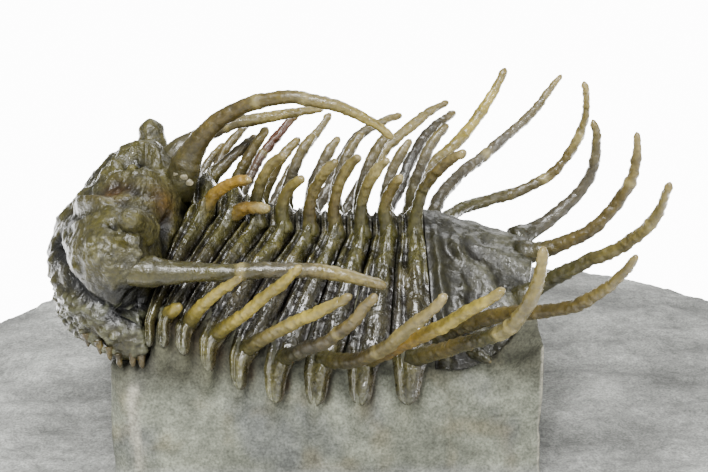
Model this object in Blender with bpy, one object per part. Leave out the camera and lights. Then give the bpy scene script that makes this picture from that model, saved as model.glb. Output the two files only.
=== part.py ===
"""Fossil of a spiny trilobite, standing free on the stone it was carved out of.

The animal faces -X and its left side faces -Y. Its shell has three parts: the head
shield, nine thorax segments that overlapped like the plates of a woodlouse, and the
tail shield. Every spine grew as one piece with the plate that it stands on.
The stone underneath is one piece: a broad slab, with a pedestal under the animal.
Lengths are in metres, +Z is up, and the origin is in the middle of the flat underside.
"""
import math

import bmesh
import bpy
from mathutils import Matrix, Vector

MM = 0.001

# Place of the animal's middle above the underside of the stone
BODY_PLACE = Vector((-2.0 * MM, -5.0 * MM, 25.0 * MM))

# Clear space between neighbouring pieces
GAP = 0.30 * MM

# Thorax: nine equal steps along the back, ribs that fan out to the sides
SEGMENT_COUNT = 9
SEGMENT_PITCH = 1.95 * MM
THORAX_FRONT = -12.3 * MM
SHELL_THICKNESS = 1.0 * MM
RIB_TIP_THICKNESS = 0.55 * MM
FULCRUM_OUT = 3.0 * MM
RIB_EDGE_OUT = 10.0 * MM
RIB_TIP_OUT = 11.6 * MM
FAN_SWEEP = 4.8 * MM
FAN_CENTRE = 3.3
FAN_PERIOD = 10.8
AXIS_RISE = 0.8 * MM
AXIS_HALF_WIDTH = 2.6 * MM
CREST_BACK = 2.1 * MM
CREST_FRONT_RISE = 2.6 * MM
CREST_FADE = 2.2
RIB_TIP_FRONT_Z = -4.0 * MM
RIB_TIP_BACK_Z = -9.0 * MM

# Arch of a rib: share of the way out, share of the way down
ARCH = ((0.0, 0.0), (0.26, 0.06), (0.48, 0.24), (0.69, 0.46), (0.86, 0.68), (0.95, 0.85), (1.0, 1.0))
RIB_STATIONS = (0.14, 0.26, 0.48, 0.69, 0.86, 1.0)

# Relief across a segment: share of its width, height above the shell
RIB_RELIEF = ((0.0, -0.45 * MM), (0.20, 0.0), (0.42, -0.28 * MM), (0.70, 0.20 * MM), (1.0, -0.45 * MM))
RIB_TIP_WIDTH = 0.38
RIB_TIP_LEAN = 0.30

# Spines: facets round, share of the root's thickness left at the tip, depth of the root
SPINE_SIDES = 6
SPINE_TIP_SHARE = 0.48
SPINE_ROOT = 0.40 * MM
SPINE_PLACE = 0.61
SPINE_END_SHARE = 0.6
DORSAL_RADIUS = 0.50 * MM
LONG_RADIUS = 0.58 * MM

# Every spine bends evenly through its headings, root first, in degrees:
# the rise above level and the splay away from straight back.

# Dorsal spines of segments 1 to 9, on the animal's left and right:
# length in millimetres, rises
DORSAL_SPINES = (
    ((5.2, (67, 3)), (5.2, (50, 20))),
    ((3.5, (43, -7)), (5.5, (75, 40))),
    ((6.8, (103, 31)), (6.0, (72, 35))),
    ((5.1, (110, 26)), (6.5, (92, 38))),
    ((6.7, (98, 39)), (6.5, (92, 38))),
    ((7.1, (104, 40)), (7.0, (96, 40))),
    ((7.0, (102, 39)), (7.0, (96, 40))),
    ((5.3, (110, 44)), (6.5, (96, 40))),
    ((8.7, (92, 29)), (8.0, (92, 35))),
)
DORSAL_SPLAY = (20, 34)

# Long rib spines of segments 2 to 9, on the animal's left and right:
# length in millimetres, rises, splays
LONG_SPINES = {
    2: ((1.8, (35, 40), (60, 50)), (6.5, (60, 40), (60, 35))),
    3: ((7.7, (44, 39), (67, 23)), (9.2, (79, 27), (67, 34))),
    4: ((11.3, (38, 46), (54, 28)), (11.7, (56, 36), (65, 24))),
    5: ((12.2, (37, 33), (59, 24)), (13.0, (50, 41), (58, 34))),
    6: ((12.9, (31, 35, 59), (62, 48, 34)), (16.2, (39, 56, -2), (42, 41, 28))),
    7: ((14.6, (12, 42, 51), (56, 45, 29)), (17.6, (49, 44, 14), (51, 36, 27))),
    8: ((15.6, (32, 41), (63, 27)), (15.8, (35, 52, 10), (44, 54, 38))),
    9: ((19.0, (30, 31, 92), (53, 55, 41)), (19.2, (69, 26, 58), (73, 37, 40))),
}

# Tail shield
TAIL_FRONT = float(SEGMENT_COUNT)
TAIL_LENGTH = 8.3 * MM
TAIL_HALF_WIDTH = 10.4 * MM
TAIL_ROUNDING = 2.6
TAIL_DROP = 2.1 * MM
TAIL_ROWS = (0.0, 0.16, 0.34, 0.52, 0.70, 0.86, 0.97)
TAIL_FOLDS = 16
TAIL_FOLD_DEPTH = 0.22 * MM

# Tail spines: side, place along the shield, distance out, length in millimetres,
# rises, splays
TAIL_SPINES = (
    (-1.0, 0.93, 2.1 * MM, 14.3, (14, 48, 102), (22, 8, 13)),
    (1.0, 0.93, 2.1 * MM, 12.4, (11, 54, 113), (27, 4, -1)),
    (-1.0, 0.85, 6.0 * MM, 17.0, (41, 32, 75), (17, 39, 72)),
    (1.0, 0.22, 6.2 * MM, 25.3, (-14, 12, 107), (98, 8, 6)),
    (-1.0, 0.06, 8.9 * MM, 20.1, (36, 19, 62), (41, 43, 49)),
    (1.0, 0.13, 7.3 * MM, 21.8, (14, 21, 52), (93, 35, 21)),
)
TAIL_SIDE_SPINES = (
    (-1.0, 0.36, 9.4 * MM, 1.9, (0, -10), (60, 50)),
    (1.0, 0.36, 9.4 * MM, 1.9, (0, -10), (60, 50)),
)
TAIL_SIDE_RADIUS = 0.42 * MM
TAIL_SPINE_RADIUS = 0.62 * MM

# Head shield
HEAD_CENTRE_X = -16.8 * MM
HEAD_LENGTH = 6.3 * MM
HEAD_HALF_WIDTH = 11.3 * MM
HEAD_CROWN_X = -15.6 * MM
HEAD_COLUMNS = 28
# Share of the outline, then height at the front, at the sides and at the back
HEAD_ROWS = (
    (0.90, -5.4 * MM, -5.4 * MM, -5.4 * MM),
    (1.00, -4.7 * MM, -4.7 * MM, -4.7 * MM),
    (0.965, -3.2 * MM, -3.2 * MM, -3.2 * MM),
    (1.00, -0.6 * MM, -1.0 * MM, -1.0 * MM),
    (0.98, 1.0 * MM, 2.2 * MM, 2.4 * MM),
    (0.84, 2.2 * MM, 4.4 * MM, 5.2 * MM),
    (0.61, 4.2 * MM, 5.3 * MM, 6.0 * MM),
    (0.38, 5.7 * MM, 6.2 * MM, 6.4 * MM),
    (0.16, 6.6 * MM, 6.8 * MM, 6.8 * MM),
)

# Rounded swellings of the head: centre, then half sizes, in millimetres
HEAD_SWELLINGS = (
    ((-16.6, 0.0, 5.3), (2.7, 2.4, 1.9)),
    ((-19.3, -1.7, 3.3), (1.7, 1.5, 1.4)),
    ((-19.0, 1.7, 3.0), (1.6, 1.5, 1.3)),
    ((-15.4, -9.0, 4.1), (1.3, 1.4, 2.05)),
    ((-16.3, 8.9, 4.5), (1.1, 1.25, 2.1)),
)
# Small granules in rows around the cheeks: turn from the back in degrees,
# share of the outline, height and radius in millimetres
GRANULE_ROWS = (
    ((68, 96, 124, 152), 0.995, 0.2, 0.50),
    ((74, 97, 120), 0.905, 2.9, 0.42),
    ((143, 166), 0.80, 2.4, 0.42),
)
# Denticles that hang from the rim of the cheeks
DENTICLE_TURNS = (68, 86, 104, 122, 140, 158)
DENTICLE_SHARE = 0.985
DENTICLE_HEIGHT = -4.75
DENTICLE_RADIUS = 0.42

# Head spines: side, root in millimetres, length, rises, splays, radius, tip share
HEAD_SPINES = (
    (-1.0, (-12.9, -1.9, 5.5), 19.9, (75, 13, -44), (4, 18, 2), 0.68, 0.52),
    (1.0, (-14.0, 1.9, 5.6), 12.9, (47, 4, 4), (9, 13, 18), 0.62, 0.52),
    (-1.0, (-15.6, -10.2, 1.6), 17.9, (0, 7, -18), (11, 7, 8), 0.66, 0.72),
    (1.0, (-15.6, 10.2, 1.6), 2.4, (0, 5), (11, 9), 0.66, 0.80),
)

# Surfaces
STONE_COLOUR = (0.30, 0.31, 0.25)
HEAD_COLOUR = (0.15, 0.13, 0.075)
TAIL_COLOUR = (0.11, 0.10, 0.075)
THORAX_COLOUR = (0.065, 0.058, 0.042)
SHARP_ANGLE = 45

# Stone
SLAB_CENTRE = Vector((2.0 * MM, 5.0 * MM, 0.0))
SLAB_HALF_LENGTH = 42.0 * MM
SLAB_HALF_WIDTH = 30.0 * MM
SLAB_BOTTOM = -25.0 * MM
SLAB_TOP = -15.0 * MM
SLAB_COLUMNS = 48
SLAB_WAVES = ((3, 0.7, 0.010), (5, 2.1, 0.009), (8, 0.4, 0.006))
PEDESTAL_HEAD_END = -18.0 * MM
PEDESTAL_TOP_OUT = 10.9 * MM
PEDESTAL_FLARE = 1.3 * MM
PEDESTAL_WAIST = -10.5 * MM
PEDESTAL_CORNER = 1.1 * MM
PEDESTAL_TAIL_ROWS = (0.25, 0.5, 0.75, 1.0)
HEAD_SEAT = -5.72 * MM
TAIL_CORNER_HEIGHT = -4.2 * MM


def mix(a, b, share):
    return a + (b - a) * share


def smooth_share(value, low, high):
    share = min(1.0, max(0.0, (value - low) / (high - low)))
    return share * share * (3.0 - 2.0 * share)


def bend(headings, share):
    """Heading at a share of the way through an evenly spaced row of headings."""
    place = share * (len(headings) - 1)
    index = min(int(place), len(headings) - 2)
    return mix(headings[index], headings[index + 1], place - index)


def along_table(table, place):
    """Read a table of (place, value) pairs with straight lines between them."""
    for (low, at_low), (high, at_high) in zip(table, table[1:]):
        if place <= high:
            return mix(at_low, at_high, (place - low) / (high - low))
    return table[-1][1]


# Shell of the thorax as one smooth surface

def crest_height(along):
    return CREST_BACK + CREST_FRONT_RISE * math.exp(-max(along, 0.0) / CREST_FADE)


def rib_tip_height(along):
    return mix(RIB_TIP_FRONT_Z, RIB_TIP_BACK_Z, smooth_share(along, 1.5, 6.0))


def shell_point(along, across):
    """Outer shell: along counts segments from the head, across runs from -1 to 1."""
    out = RIB_TIP_OUT * abs(across)
    side = 1.0 if across >= 0.0 else -1.0
    sweep = FAN_SWEEP * math.cos(math.pi * (along - FAN_CENTRE) / FAN_PERIOD)
    fanned = max(0.0, out - FULCRUM_OUT) / (RIB_EDGE_OUT - FULCRUM_OUT)
    x = THORAX_FRONT + SEGMENT_PITCH * along - sweep * fanned
    z = mix(crest_height(along), rib_tip_height(along), along_table(ARCH, abs(across)))
    if out < AXIS_HALF_WIDTH:
        z += AXIS_RISE * math.cos(0.5 * math.pi * out / AXIS_HALF_WIDTH) ** 2
    return Vector((x, side * out, z))


def shell_normal(along, across):
    """Outward direction of the shell in the plane that cuts straight across the body."""
    step = 0.03
    inside = max(step - 1.0, min(1.0 - step, across))
    sideways = shell_point(along, inside + step) - shell_point(along, inside - step)
    return Vector((0.0, -sideways.z, sideways.y)).normalized()


def shell_thickness(across):
    return mix(SHELL_THICKNESS, RIB_TIP_THICKNESS, smooth_share(abs(across), 0.6, 1.0))


def segment_place(segment, across, share):
    """Where a share of one segment's width lies, leaving half a gap at each side."""
    front = float(segment - 1)
    width = shell_point(front + 1.0, across).x - shell_point(front, across).x
    margin = 0.5 * GAP / width
    tip_width = mix(1.0, RIB_TIP_WIDTH, smooth_share(segment, 0.0, 5.0))
    narrowing = mix(1.0, tip_width, smooth_share(abs(across), 0.80, 1.0))
    narrowed = RIB_TIP_LEAN + (share - RIB_TIP_LEAN) * narrowing
    return front + mix(margin, 1.0 - margin, narrowed)


# Mesh helpers

def closed_loft(rings, fan_caps=False):
    """Closed body through rings with equal numbers of points, capped at both ends."""
    bm = bmesh.new()
    loops = [[bm.verts.new(point) for point in ring] for ring in rings]
    count = len(rings[0])
    for near, far in zip(loops, loops[1:]):
        for i in range(count):
            j = (i + 1) % count
            bm.faces.new((near[i], near[j], far[j], far[i]))
    caps = [bm.faces.new(list(reversed(loops[0]))), bm.faces.new(loops[-1])]
    if fan_caps:
        bmesh.ops.poke(bm, faces=caps)
    bmesh.ops.triangulate(bm, faces=bm.faces)
    bmesh.ops.recalc_face_normals(bm, faces=bm.faces)
    return bm


def lump(centre, half_sizes, detail):
    """Rounded lump: a faceted ball stretched to its half sizes."""
    bm = bmesh.new()
    bmesh.ops.create_icosphere(bm, subdivisions=detail, radius=1.0)
    bmesh.ops.transform(bm, matrix=Matrix.LocRotScale(centre, None, half_sizes), verts=bm.verts)
    return new_object("lump", bm)


def new_object(name, bm):
    mesh = bpy.data.meshes.new(name)
    bm.to_mesh(mesh)
    bm.free()
    obj = bpy.data.objects.new(name, mesh)
    bpy.context.scene.collection.objects.link(obj)
    return obj


def fuse(body, pieces):
    """Join overlapping closed pieces with the body into one closed mesh."""
    for piece in pieces:
        union = body.modifiers.new("fuse " + piece.name, "BOOLEAN")
        union.operation = "UNION"
        union.solver = "EXACT"
        union.object = piece
    depsgraph = bpy.context.evaluated_depsgraph_get()
    fused = bpy.data.meshes.new_from_object(body.evaluated_get(depsgraph))
    body.modifiers.clear()
    old = body.data
    body.data = fused
    bpy.data.meshes.remove(old)
    for piece in pieces:
        bpy.data.objects.remove(piece)


# Spines

def heading(rise, splay, side):
    """Direction at a rise above level and a splay away from straight back, in degrees."""
    up = math.radians(rise)
    out = math.radians(splay)
    return Vector((math.cos(up) * math.cos(out), side * math.cos(up) * math.sin(out), math.sin(up)))


def spine_line(root, side, length, rises, splays, steps):
    """Centre line that turns evenly through its headings."""
    line = [root - heading(rises[0], splays[0], side) * SPINE_ROOT, root.copy()]
    for step in range(steps):
        share = (step + 0.5) / steps
        turn = heading(bend(rises, share), bend(splays, share), side)
        line.append(line[-1] + turn * (length / steps))
    return line


def spine(name, line, radius, tip_share=SPINE_TIP_SHARE):
    """Tapering six-sided rod along a centre line."""
    rings = []
    side_axis = None
    for i, centre in enumerate(line):
        before = line[max(i - 1, 0)]
        after = line[min(i + 1, len(line) - 1)]
        along = (after - before).normalized()
        if side_axis is None:
            side_axis = along.orthogonal().normalized()
        side_axis = (side_axis - along * side_axis.dot(along)).normalized()
        up_axis = along.cross(side_axis)
        share = i / (len(line) - 1)
        width = radius * mix(1.0, tip_share, share)
        if i == len(line) - 1:
            width *= SPINE_END_SHARE
        ring = []
        for k in range(SPINE_SIDES):
            turn = 2.0 * math.pi * k / SPINE_SIDES
            ring.append(centre + width * (math.cos(turn) * side_axis + math.sin(turn) * up_axis))
        rings.append(ring)
    return new_object(name, closed_loft(rings))


# Thorax segments

def across_stations():
    return [-v for v in reversed(RIB_STATIONS)] + [0.0] + list(RIB_STATIONS)


def segment_shell(segment):
    rings = []
    for across in across_stations():
        thickness = shell_thickness(across)
        relief_share = thickness / SHELL_THICKNESS
        ring = []
        for share, height in RIB_RELIEF:
            place = segment_place(segment, across, share)
            ring.append(shell_point(place, across) + shell_normal(place, across) * height * relief_share)
        for share in (1.0, 0.0):
            place = segment_place(segment, across, share)
            ring.append(shell_point(place, across) - shell_normal(place, across) * thickness)
        rings.append(ring)
    return new_object("thorax_segment_%d" % segment, closed_loft(rings))


def dorsal_spine(segment, side, shape):
    length, rises = shape
    across = side * FULCRUM_OUT / RIB_TIP_OUT
    root = shell_point(segment_place(segment, across, SPINE_PLACE), across)
    line = spine_line(root, side, length * MM, rises, DORSAL_SPLAY, 3)
    return spine("dorsal spine", line, DORSAL_RADIUS)


def long_spine(segment, side, shape):
    length, rises, splays = shape
    across = side * RIB_EDGE_OUT / RIB_TIP_OUT
    root = shell_point(segment_place(segment, across, SPINE_PLACE), across)
    line = spine_line(root, side, length * MM, rises, splays, 6)
    return spine("long spine", line, LONG_RADIUS)


def thorax_segment(segment):
    shell = segment_shell(segment)
    spines = []
    for index, side in enumerate((-1.0, 1.0)):
        spines.append(dorsal_spine(segment, side, DORSAL_SPINES[segment - 1][index]))
        if segment in LONG_SPINES:
            spines.append(long_spine(segment, side, LONG_SPINES[segment][index]))
    fuse(shell, spines)
    return shell


# Tail shield

def tail_half_width(back):
    return TAIL_HALF_WIDTH * (1.0 - back ** TAIL_ROUNDING) ** (1.0 / TAIL_ROUNDING)


def tail_surface(back, out, side):
    """Outer surface of the tail: back runs from 0 at its front edge to 1 at its end."""
    edge = shell_point(TAIL_FRONT, out / RIB_TIP_OUT)
    middle = shell_point(TAIL_FRONT, 0.0)
    x = mix(edge.x, middle.x, back) + back * TAIL_LENGTH
    z = mix(edge.z, middle.z - AXIS_RISE, 0.15 * back) - TAIL_DROP * back
    return Vector((x, side * out, z))


def tail_under(back, out, side, depth):
    """Point below the tail's surface, square to it in the plane straight across."""
    step = 0.1 * MM
    point = tail_surface(back, out, side)
    sideways = (tail_surface(back, out + step, side) - point) * side
    return point - Vector((0.0, -sideways.z, sideways.y)).normalized() * depth


def tail_seat(back, out, side):
    """Point of the stone straight below the tail's surface, one gap under the shell."""
    point = tail_surface(back, out, side)
    steepness = (point - tail_under(back, out, side, 1.0)).z
    point.z -= (SHELL_THICKNESS + GAP) / steepness
    return point


def tail_shield():
    rings = []
    for back in TAIL_ROWS:
        top = []
        under = []
        for i in range(TAIL_FOLDS + 1):
            across = 2.0 * i / TAIL_FOLDS - 1.0
            side = -1.0 if across < 0.0 else 1.0
            out = tail_half_width(back) * math.sin(0.5 * math.pi * abs(across))
            fold = TAIL_FOLD_DEPTH if i % 2 else -TAIL_FOLD_DEPTH
            fold *= smooth_share(abs(across), 0.1, 0.4) * smooth_share(back, -0.1, 0.3)
            gap = Vector((0.5 * GAP, 0.0, 0.0))
            top.append(tail_under(back, out, side, -fold) + gap)
            under.append(tail_under(back, out, side, SHELL_THICKNESS) + gap)
        rings.append(top + list(reversed(under)))
    shield = new_object("tail_shield", closed_loft(rings))
    spines = []
    for table, radius, steps in ((TAIL_SPINES, TAIL_SPINE_RADIUS, 8), (TAIL_SIDE_SPINES, TAIL_SIDE_RADIUS, 2)):
        for side, back, out, length, rises, splays in table:
            root = tail_under(back, out, side, 0.5 * SHELL_THICKNESS)
            line = spine_line(root, side, length * MM, rises, splays, steps)
            spines.append(spine("tail spine", line, radius))
    fuse(shield, spines)
    return shield


# Head shield

def head_outline(turn):
    """Rim of the head seen from above: an arc in front, the thorax's edge behind."""
    out = HEAD_HALF_WIDTH * math.sin(turn)
    if math.cos(turn) <= 0.0:
        return Vector((HEAD_CENTRE_X + HEAD_LENGTH * math.cos(turn), out, 0.0))
    edge = shell_point(0.0, out / RIB_TIP_OUT).x - 0.5 * GAP
    return Vector((edge, out, 0.0))


def rim_point(turn_degrees, share, height):
    """Point near the rim of the head, at a turn measured from straight back."""
    crown = Vector((HEAD_CROWN_X, 0.0, 0.0))
    point = crown + share * (head_outline(math.radians(turn_degrees)) - crown)
    point.z = height * MM
    return point


def head_granules():
    """Small round granules on the cheeks and denticles under their rim."""
    granules = []
    for side in (-1.0, 1.0):
        for turns, share, height, radius in GRANULE_ROWS:
            for turn in turns:
                size = Vector((1.0, 1.0, 1.0)) * radius * MM
                granules.append(lump(rim_point(side * turn, share, height), size, 1))
        for turn in DENTICLE_TURNS:
            size = Vector((0.8, 0.8, 1.25)) * DENTICLE_RADIUS * MM
            granules.append(lump(rim_point(side * turn, DENTICLE_SHARE, DENTICLE_HEIGHT), size, 1))
    return granules


def head_shield():
    crown = Vector((HEAD_CROWN_X, 0.0, 0.0))
    rings = []
    for share, at_front, at_side, at_back in HEAD_ROWS:
        ring = []
        for i in range(HEAD_COLUMNS):
            turn = 2.0 * math.pi * (i + 0.5) / HEAD_COLUMNS
            point = crown + share * (head_outline(turn) - crown)
            sideways = abs(math.sin(turn)) ** 1.5
            point.z = mix(at_front if math.cos(turn) < 0.0 else at_back, at_side, sideways)
            ring.append(point)
        rings.append(ring)
    shield = new_object("head_shield", closed_loft(rings))
    pieces = [lump(Vector(centre) * MM, Vector(half) * MM, 2) for centre, half in HEAD_SWELLINGS]
    pieces.extend(head_granules())
    for side, root, length, rises, splays, radius, tip_share in HEAD_SPINES:
        line = spine_line(Vector(root) * MM, side, length * MM, rises, splays, max(2, round(length / 2)))
        pieces.append(spine("head spine", line, radius * MM, tip_share))
    fuse(shield, pieces)
    return shield


# Stone

def rock_ring(points):
    """Close a row of pedestal top points with its two sides, down into the slab."""
    left = points[0]
    right = points[-1]
    ring = [Vector((left.x, left.y - PEDESTAL_FLARE, SLAB_TOP - MM))]
    ring.append(Vector((left.x, left.y - 0.3 * PEDESTAL_FLARE, PEDESTAL_WAIST)))
    ring.extend(points)
    ring.append(Vector((right.x, right.y + 0.3 * PEDESTAL_FLARE, PEDESTAL_WAIST)))
    ring.append(Vector((right.x, right.y + PEDESTAL_FLARE, SLAB_TOP - MM)))
    return ring


def level_row(x, reach, height):
    """Flat row of pedestal top points, straight across."""
    return [Vector((x, reach * across, height)) for across in across_stations()]


def pedestal():
    stations = across_stations()
    rings = [
        rock_ring(level_row(PEDESTAL_HEAD_END, PEDESTAL_TOP_OUT - PEDESTAL_CORNER, HEAD_SEAT)),
        rock_ring(level_row(PEDESTAL_HEAD_END + PEDESTAL_CORNER, PEDESTAL_TOP_OUT, HEAD_SEAT)),
    ]
    step = level_row(0.0, PEDESTAL_TOP_OUT, HEAD_SEAT)
    for point in step:
        point.x = shell_point(0.0, point.y / RIB_TIP_OUT).x + 0.5 * GAP
    rings.append(rock_ring(step))
    for along in range(SEGMENT_COUNT + 1):
        row = []
        for across in stations:
            depth = shell_thickness(across) + GAP
            point = shell_point(along, across) - shell_normal(along, across) * depth
            if along == 0:
                point.x = shell_point(0.0, point.y / RIB_TIP_OUT).x + 0.7 * GAP
            row.append(point)
        rings.append(rock_ring(row))
    for back in PEDESTAL_TAIL_ROWS:
        row = []
        for across in stations:
            side = -1.0 if across < 0.0 else 1.0
            out = PEDESTAL_TOP_OUT * abs(across)
            point = tail_seat(back, out, side)
            reach = tail_half_width(back) + GAP
            if out > reach:
                rim = tail_seat(back, reach, side).z
                point.z = max(point.z, min(rim, TAIL_CORNER_HEIGHT))
            row.append(point)
        rings.append(rock_ring(row))
    return new_object("pedestal", closed_loft(rings, fan_caps=True))


def slab():
    rings = []
    rows = ((0.96, SLAB_BOTTOM), (1.0, SLAB_BOTTOM + 2.0 * MM), (0.99, SLAB_TOP - 3.5 * MM),
            (0.95, SLAB_TOP - 0.8 * MM), (0.80, SLAB_TOP), (0.5, SLAB_TOP + 0.2 * MM))
    for share, height in rows:
        ring = []
        for i in range(SLAB_COLUMNS):
            turn = 2.0 * math.pi * i / SLAB_COLUMNS
            wave = 1.0 + sum(depth * math.cos(count * turn + start) for count, start, depth in SLAB_WAVES)
            x = SLAB_HALF_LENGTH * share * wave * math.cos(turn)
            y = SLAB_HALF_WIDTH * share * wave * math.sin(turn)
            ring.append(SLAB_CENTRE + Vector((x, y, height)))
        rings.append(ring)
    return new_object("matrix", closed_loft(rings))


def matrix():
    stone = slab()
    fuse(stone, [pedestal()])
    return stone


def finish(piece, colour, roughness):
    """Give a piece its own material and smooth shading with crisp edges."""
    material = bpy.data.materials.new(piece.name + "_surface")
    material.use_nodes = True
    shader = material.node_tree.nodes["Principled BSDF"]
    shader.inputs["Base Color"].default_value = (*colour, 1.0)
    shader.inputs["Roughness"].default_value = roughness
    shader.inputs["Metallic"].default_value = 0.0
    piece.data.materials.append(material)
    piece.data.shade_smooth()
    piece.data.set_sharp_from_angle(angle=math.radians(SHARP_ANGLE))


def main():
    for obj in list(bpy.data.objects):
        bpy.data.objects.remove(obj)
    stone = matrix()
    head = head_shield()
    tail = tail_shield()
    rings = [thorax_segment(segment) for segment in range(1, SEGMENT_COUNT + 1)]
    finish(stone, STONE_COLOUR, 0.85)
    finish(head, HEAD_COLOUR, 0.30)
    finish(tail, TAIL_COLOUR, 0.28)
    for ring in rings:
        finish(ring, THORAX_COLOUR, 0.25)
    for piece in [stone, head, tail] + rings:
        piece.data.transform(Matrix.Translation(BODY_PLACE))


main()
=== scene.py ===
# %% [markdown]
# # A spiny trilobite on its stone
#
# This lesson dresses the model of a fossil trilobite. The real thing is calcite, dark and
# glossy, with long tan spines, and it stands on a pedestal that was carved out of pale
# limestone. The solids give every place and size. Each shell piece is rebuilt here as a fine
# mesh in the same place, and the stone is a fine copy of its solid.

import bmesh
import bpy
import numpy as np
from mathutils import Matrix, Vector, noise


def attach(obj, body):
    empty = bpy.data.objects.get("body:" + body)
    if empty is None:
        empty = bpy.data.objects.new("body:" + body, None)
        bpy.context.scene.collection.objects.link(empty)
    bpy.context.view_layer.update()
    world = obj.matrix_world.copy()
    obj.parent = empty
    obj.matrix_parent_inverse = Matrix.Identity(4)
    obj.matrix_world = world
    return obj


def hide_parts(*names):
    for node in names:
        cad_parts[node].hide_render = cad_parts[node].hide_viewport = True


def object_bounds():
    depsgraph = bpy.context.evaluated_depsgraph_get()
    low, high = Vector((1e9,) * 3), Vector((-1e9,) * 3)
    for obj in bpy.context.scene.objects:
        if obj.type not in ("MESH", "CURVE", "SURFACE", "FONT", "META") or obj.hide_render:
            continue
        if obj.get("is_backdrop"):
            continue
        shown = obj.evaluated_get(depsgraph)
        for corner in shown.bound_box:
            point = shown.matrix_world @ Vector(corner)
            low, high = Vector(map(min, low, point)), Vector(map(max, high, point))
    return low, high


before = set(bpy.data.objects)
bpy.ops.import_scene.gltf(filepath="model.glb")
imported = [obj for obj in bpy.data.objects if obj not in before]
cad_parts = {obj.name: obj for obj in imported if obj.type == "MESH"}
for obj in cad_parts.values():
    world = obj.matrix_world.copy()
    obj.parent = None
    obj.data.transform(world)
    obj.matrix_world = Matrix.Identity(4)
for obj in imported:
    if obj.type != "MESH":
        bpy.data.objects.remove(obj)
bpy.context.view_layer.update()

# %% [markdown]
# The work is done in millimetres around the animal's middle, because the animal is only
# 38 mm long. A few helpers do most of the shaping: mixes, a soft step, a bell-shaped hump, and
# grain, a natural noise that breaks up every surface that would look machined.

# %% Units and shaping helpers
MM = 0.001
BODY_PLACE = np.array((-2.0, -5.0, 25.0))


def mix(a, b, share):
    return a + (b - a) * share


def ease(value, low, high):
    """0 below low, 1 above high, and a soft step between them."""
    share = np.clip((value - low) / (high - low), 0.0, 1.0)
    return share * share * (3.0 - 2.0 * share)


def painted(colours, colour, share):
    """Colours with another one laid over them, where a share of 1 covers them fully."""
    return mix(colours, colour, share[..., None])


def hump(values, centre, width):
    """1 at the centre, fading to almost nothing two widths away."""
    return np.exp(-((values - centre) / width) ** 2)


def grain(points, size, octaves=2, shift=0.0):
    """Smooth natural noise at each point: lumps of the given size in millimetres, about -1 to 1."""
    scaled = np.asarray(points) / size + shift
    values = [noise.fractal(Vector(p), 1.0, 2.0, octaves) for p in scaled]
    return np.array(values)


def grain_grid(grid, size, octaves=2, shift=0.0):
    return grain(grid.reshape(-1, 3), size, octaves, shift).reshape(grid.shape[:2])


print("noise at the middle:", grain([(0.1, 0.2, 0.3)], 1.0))

# %% [markdown]
# Colours were judged on the fossil and are written as screen values, 0 to 255. The shader
# needs linear light, so one helper converts them once. The studio lights are strong and the
# picture softens strong colours, so the helper also makes each colour deeper.

# %% Colours
DEPTH = 0.30
STRENGTH = 1.55
LEAST_LIGHT = 0.002


def screen(red, green, blue):
    values = np.array((red, green, blue)) / 255.0
    linear = np.where(values <= 0.04045, values / 12.92, ((values + 0.055) / 1.055) ** 2.4)
    return np.clip(linear.mean() + (linear - linear.mean()) * STRENGTH, LEAST_LIGHT, 1.0) * DEPTH


TAN = screen(166, 154, 112)
YELLOW = screen(206, 190, 128)
ORANGE = screen(176, 148, 98)
BROWN = screen(116, 104, 70)
OLIVE = screen(94, 90, 60)
GREY = screen(108, 102, 86)
DARK_GREY = screen(70, 66, 56)
REDDISH = screen(112, 76, 54)
PALE = screen(206, 194, 150)
PINKISH = screen(184, 170, 130)
DARK = screen(34, 31, 20)
print("tan in linear light:", TAN.round(3))

# %% [markdown]
# A fine mesh is a grid of rings: each ring has the same number of points, and neighbours are
# joined by four-sided faces. Building it straight from arrays is much faster than adding
# faces one by one, and the colour of every point travels with it.

# %% Faces and normals of a grid
def ring_faces(rings, around, start=0):
    """Faces between closed rings, plus a flat cap at each end."""
    row = np.arange(around)
    after = (row + 1) % around
    base = start + around * np.arange(rings - 1)[:, None]
    quads = np.stack((base + row, base + after, base + around + after, base + around + row), axis=-1)
    caps = [list(start + row[::-1]), list(start + around * (rings - 1) + row)]
    return [list(quad) for quad in quads.reshape(-1, 4)] + caps


def unit(vectors):
    return vectors / np.maximum(np.linalg.norm(vectors, axis=-1, keepdims=True), 1e-9)


def grid_normals(grid):
    along = np.gradient(grid, axis=0)
    around = np.roll(grid, -1, axis=1) - np.roll(grid, 1, axis=1)
    return unit(np.cross(around, along))


print("faces of a short six-sided tube:", len(ring_faces(3, 6)))

# %% [markdown]
# A plate with its spines has many closed bodies. Booleans could join them, but they are slow
# and fragile on fine meshes, so a pile collects the bodies into one mesh. The colours are
# stored on the points, where the finish reads them.

# %% Pile of bodies
def add_object(name, data):
    made = bpy.data.objects.new(name, data)
    bpy.context.scene.collection.objects.link(made)
    return made


def store_tints(mesh, tints):
    values = np.ones((len(mesh.vertices), 4), np.float32)
    values[:, :3] = np.clip(tints, 0.0, 1.0)
    layer = mesh.color_attributes.new("tint", "FLOAT_COLOR", "POINT")
    layer.data.foreach_set("color", values.ravel())


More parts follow.
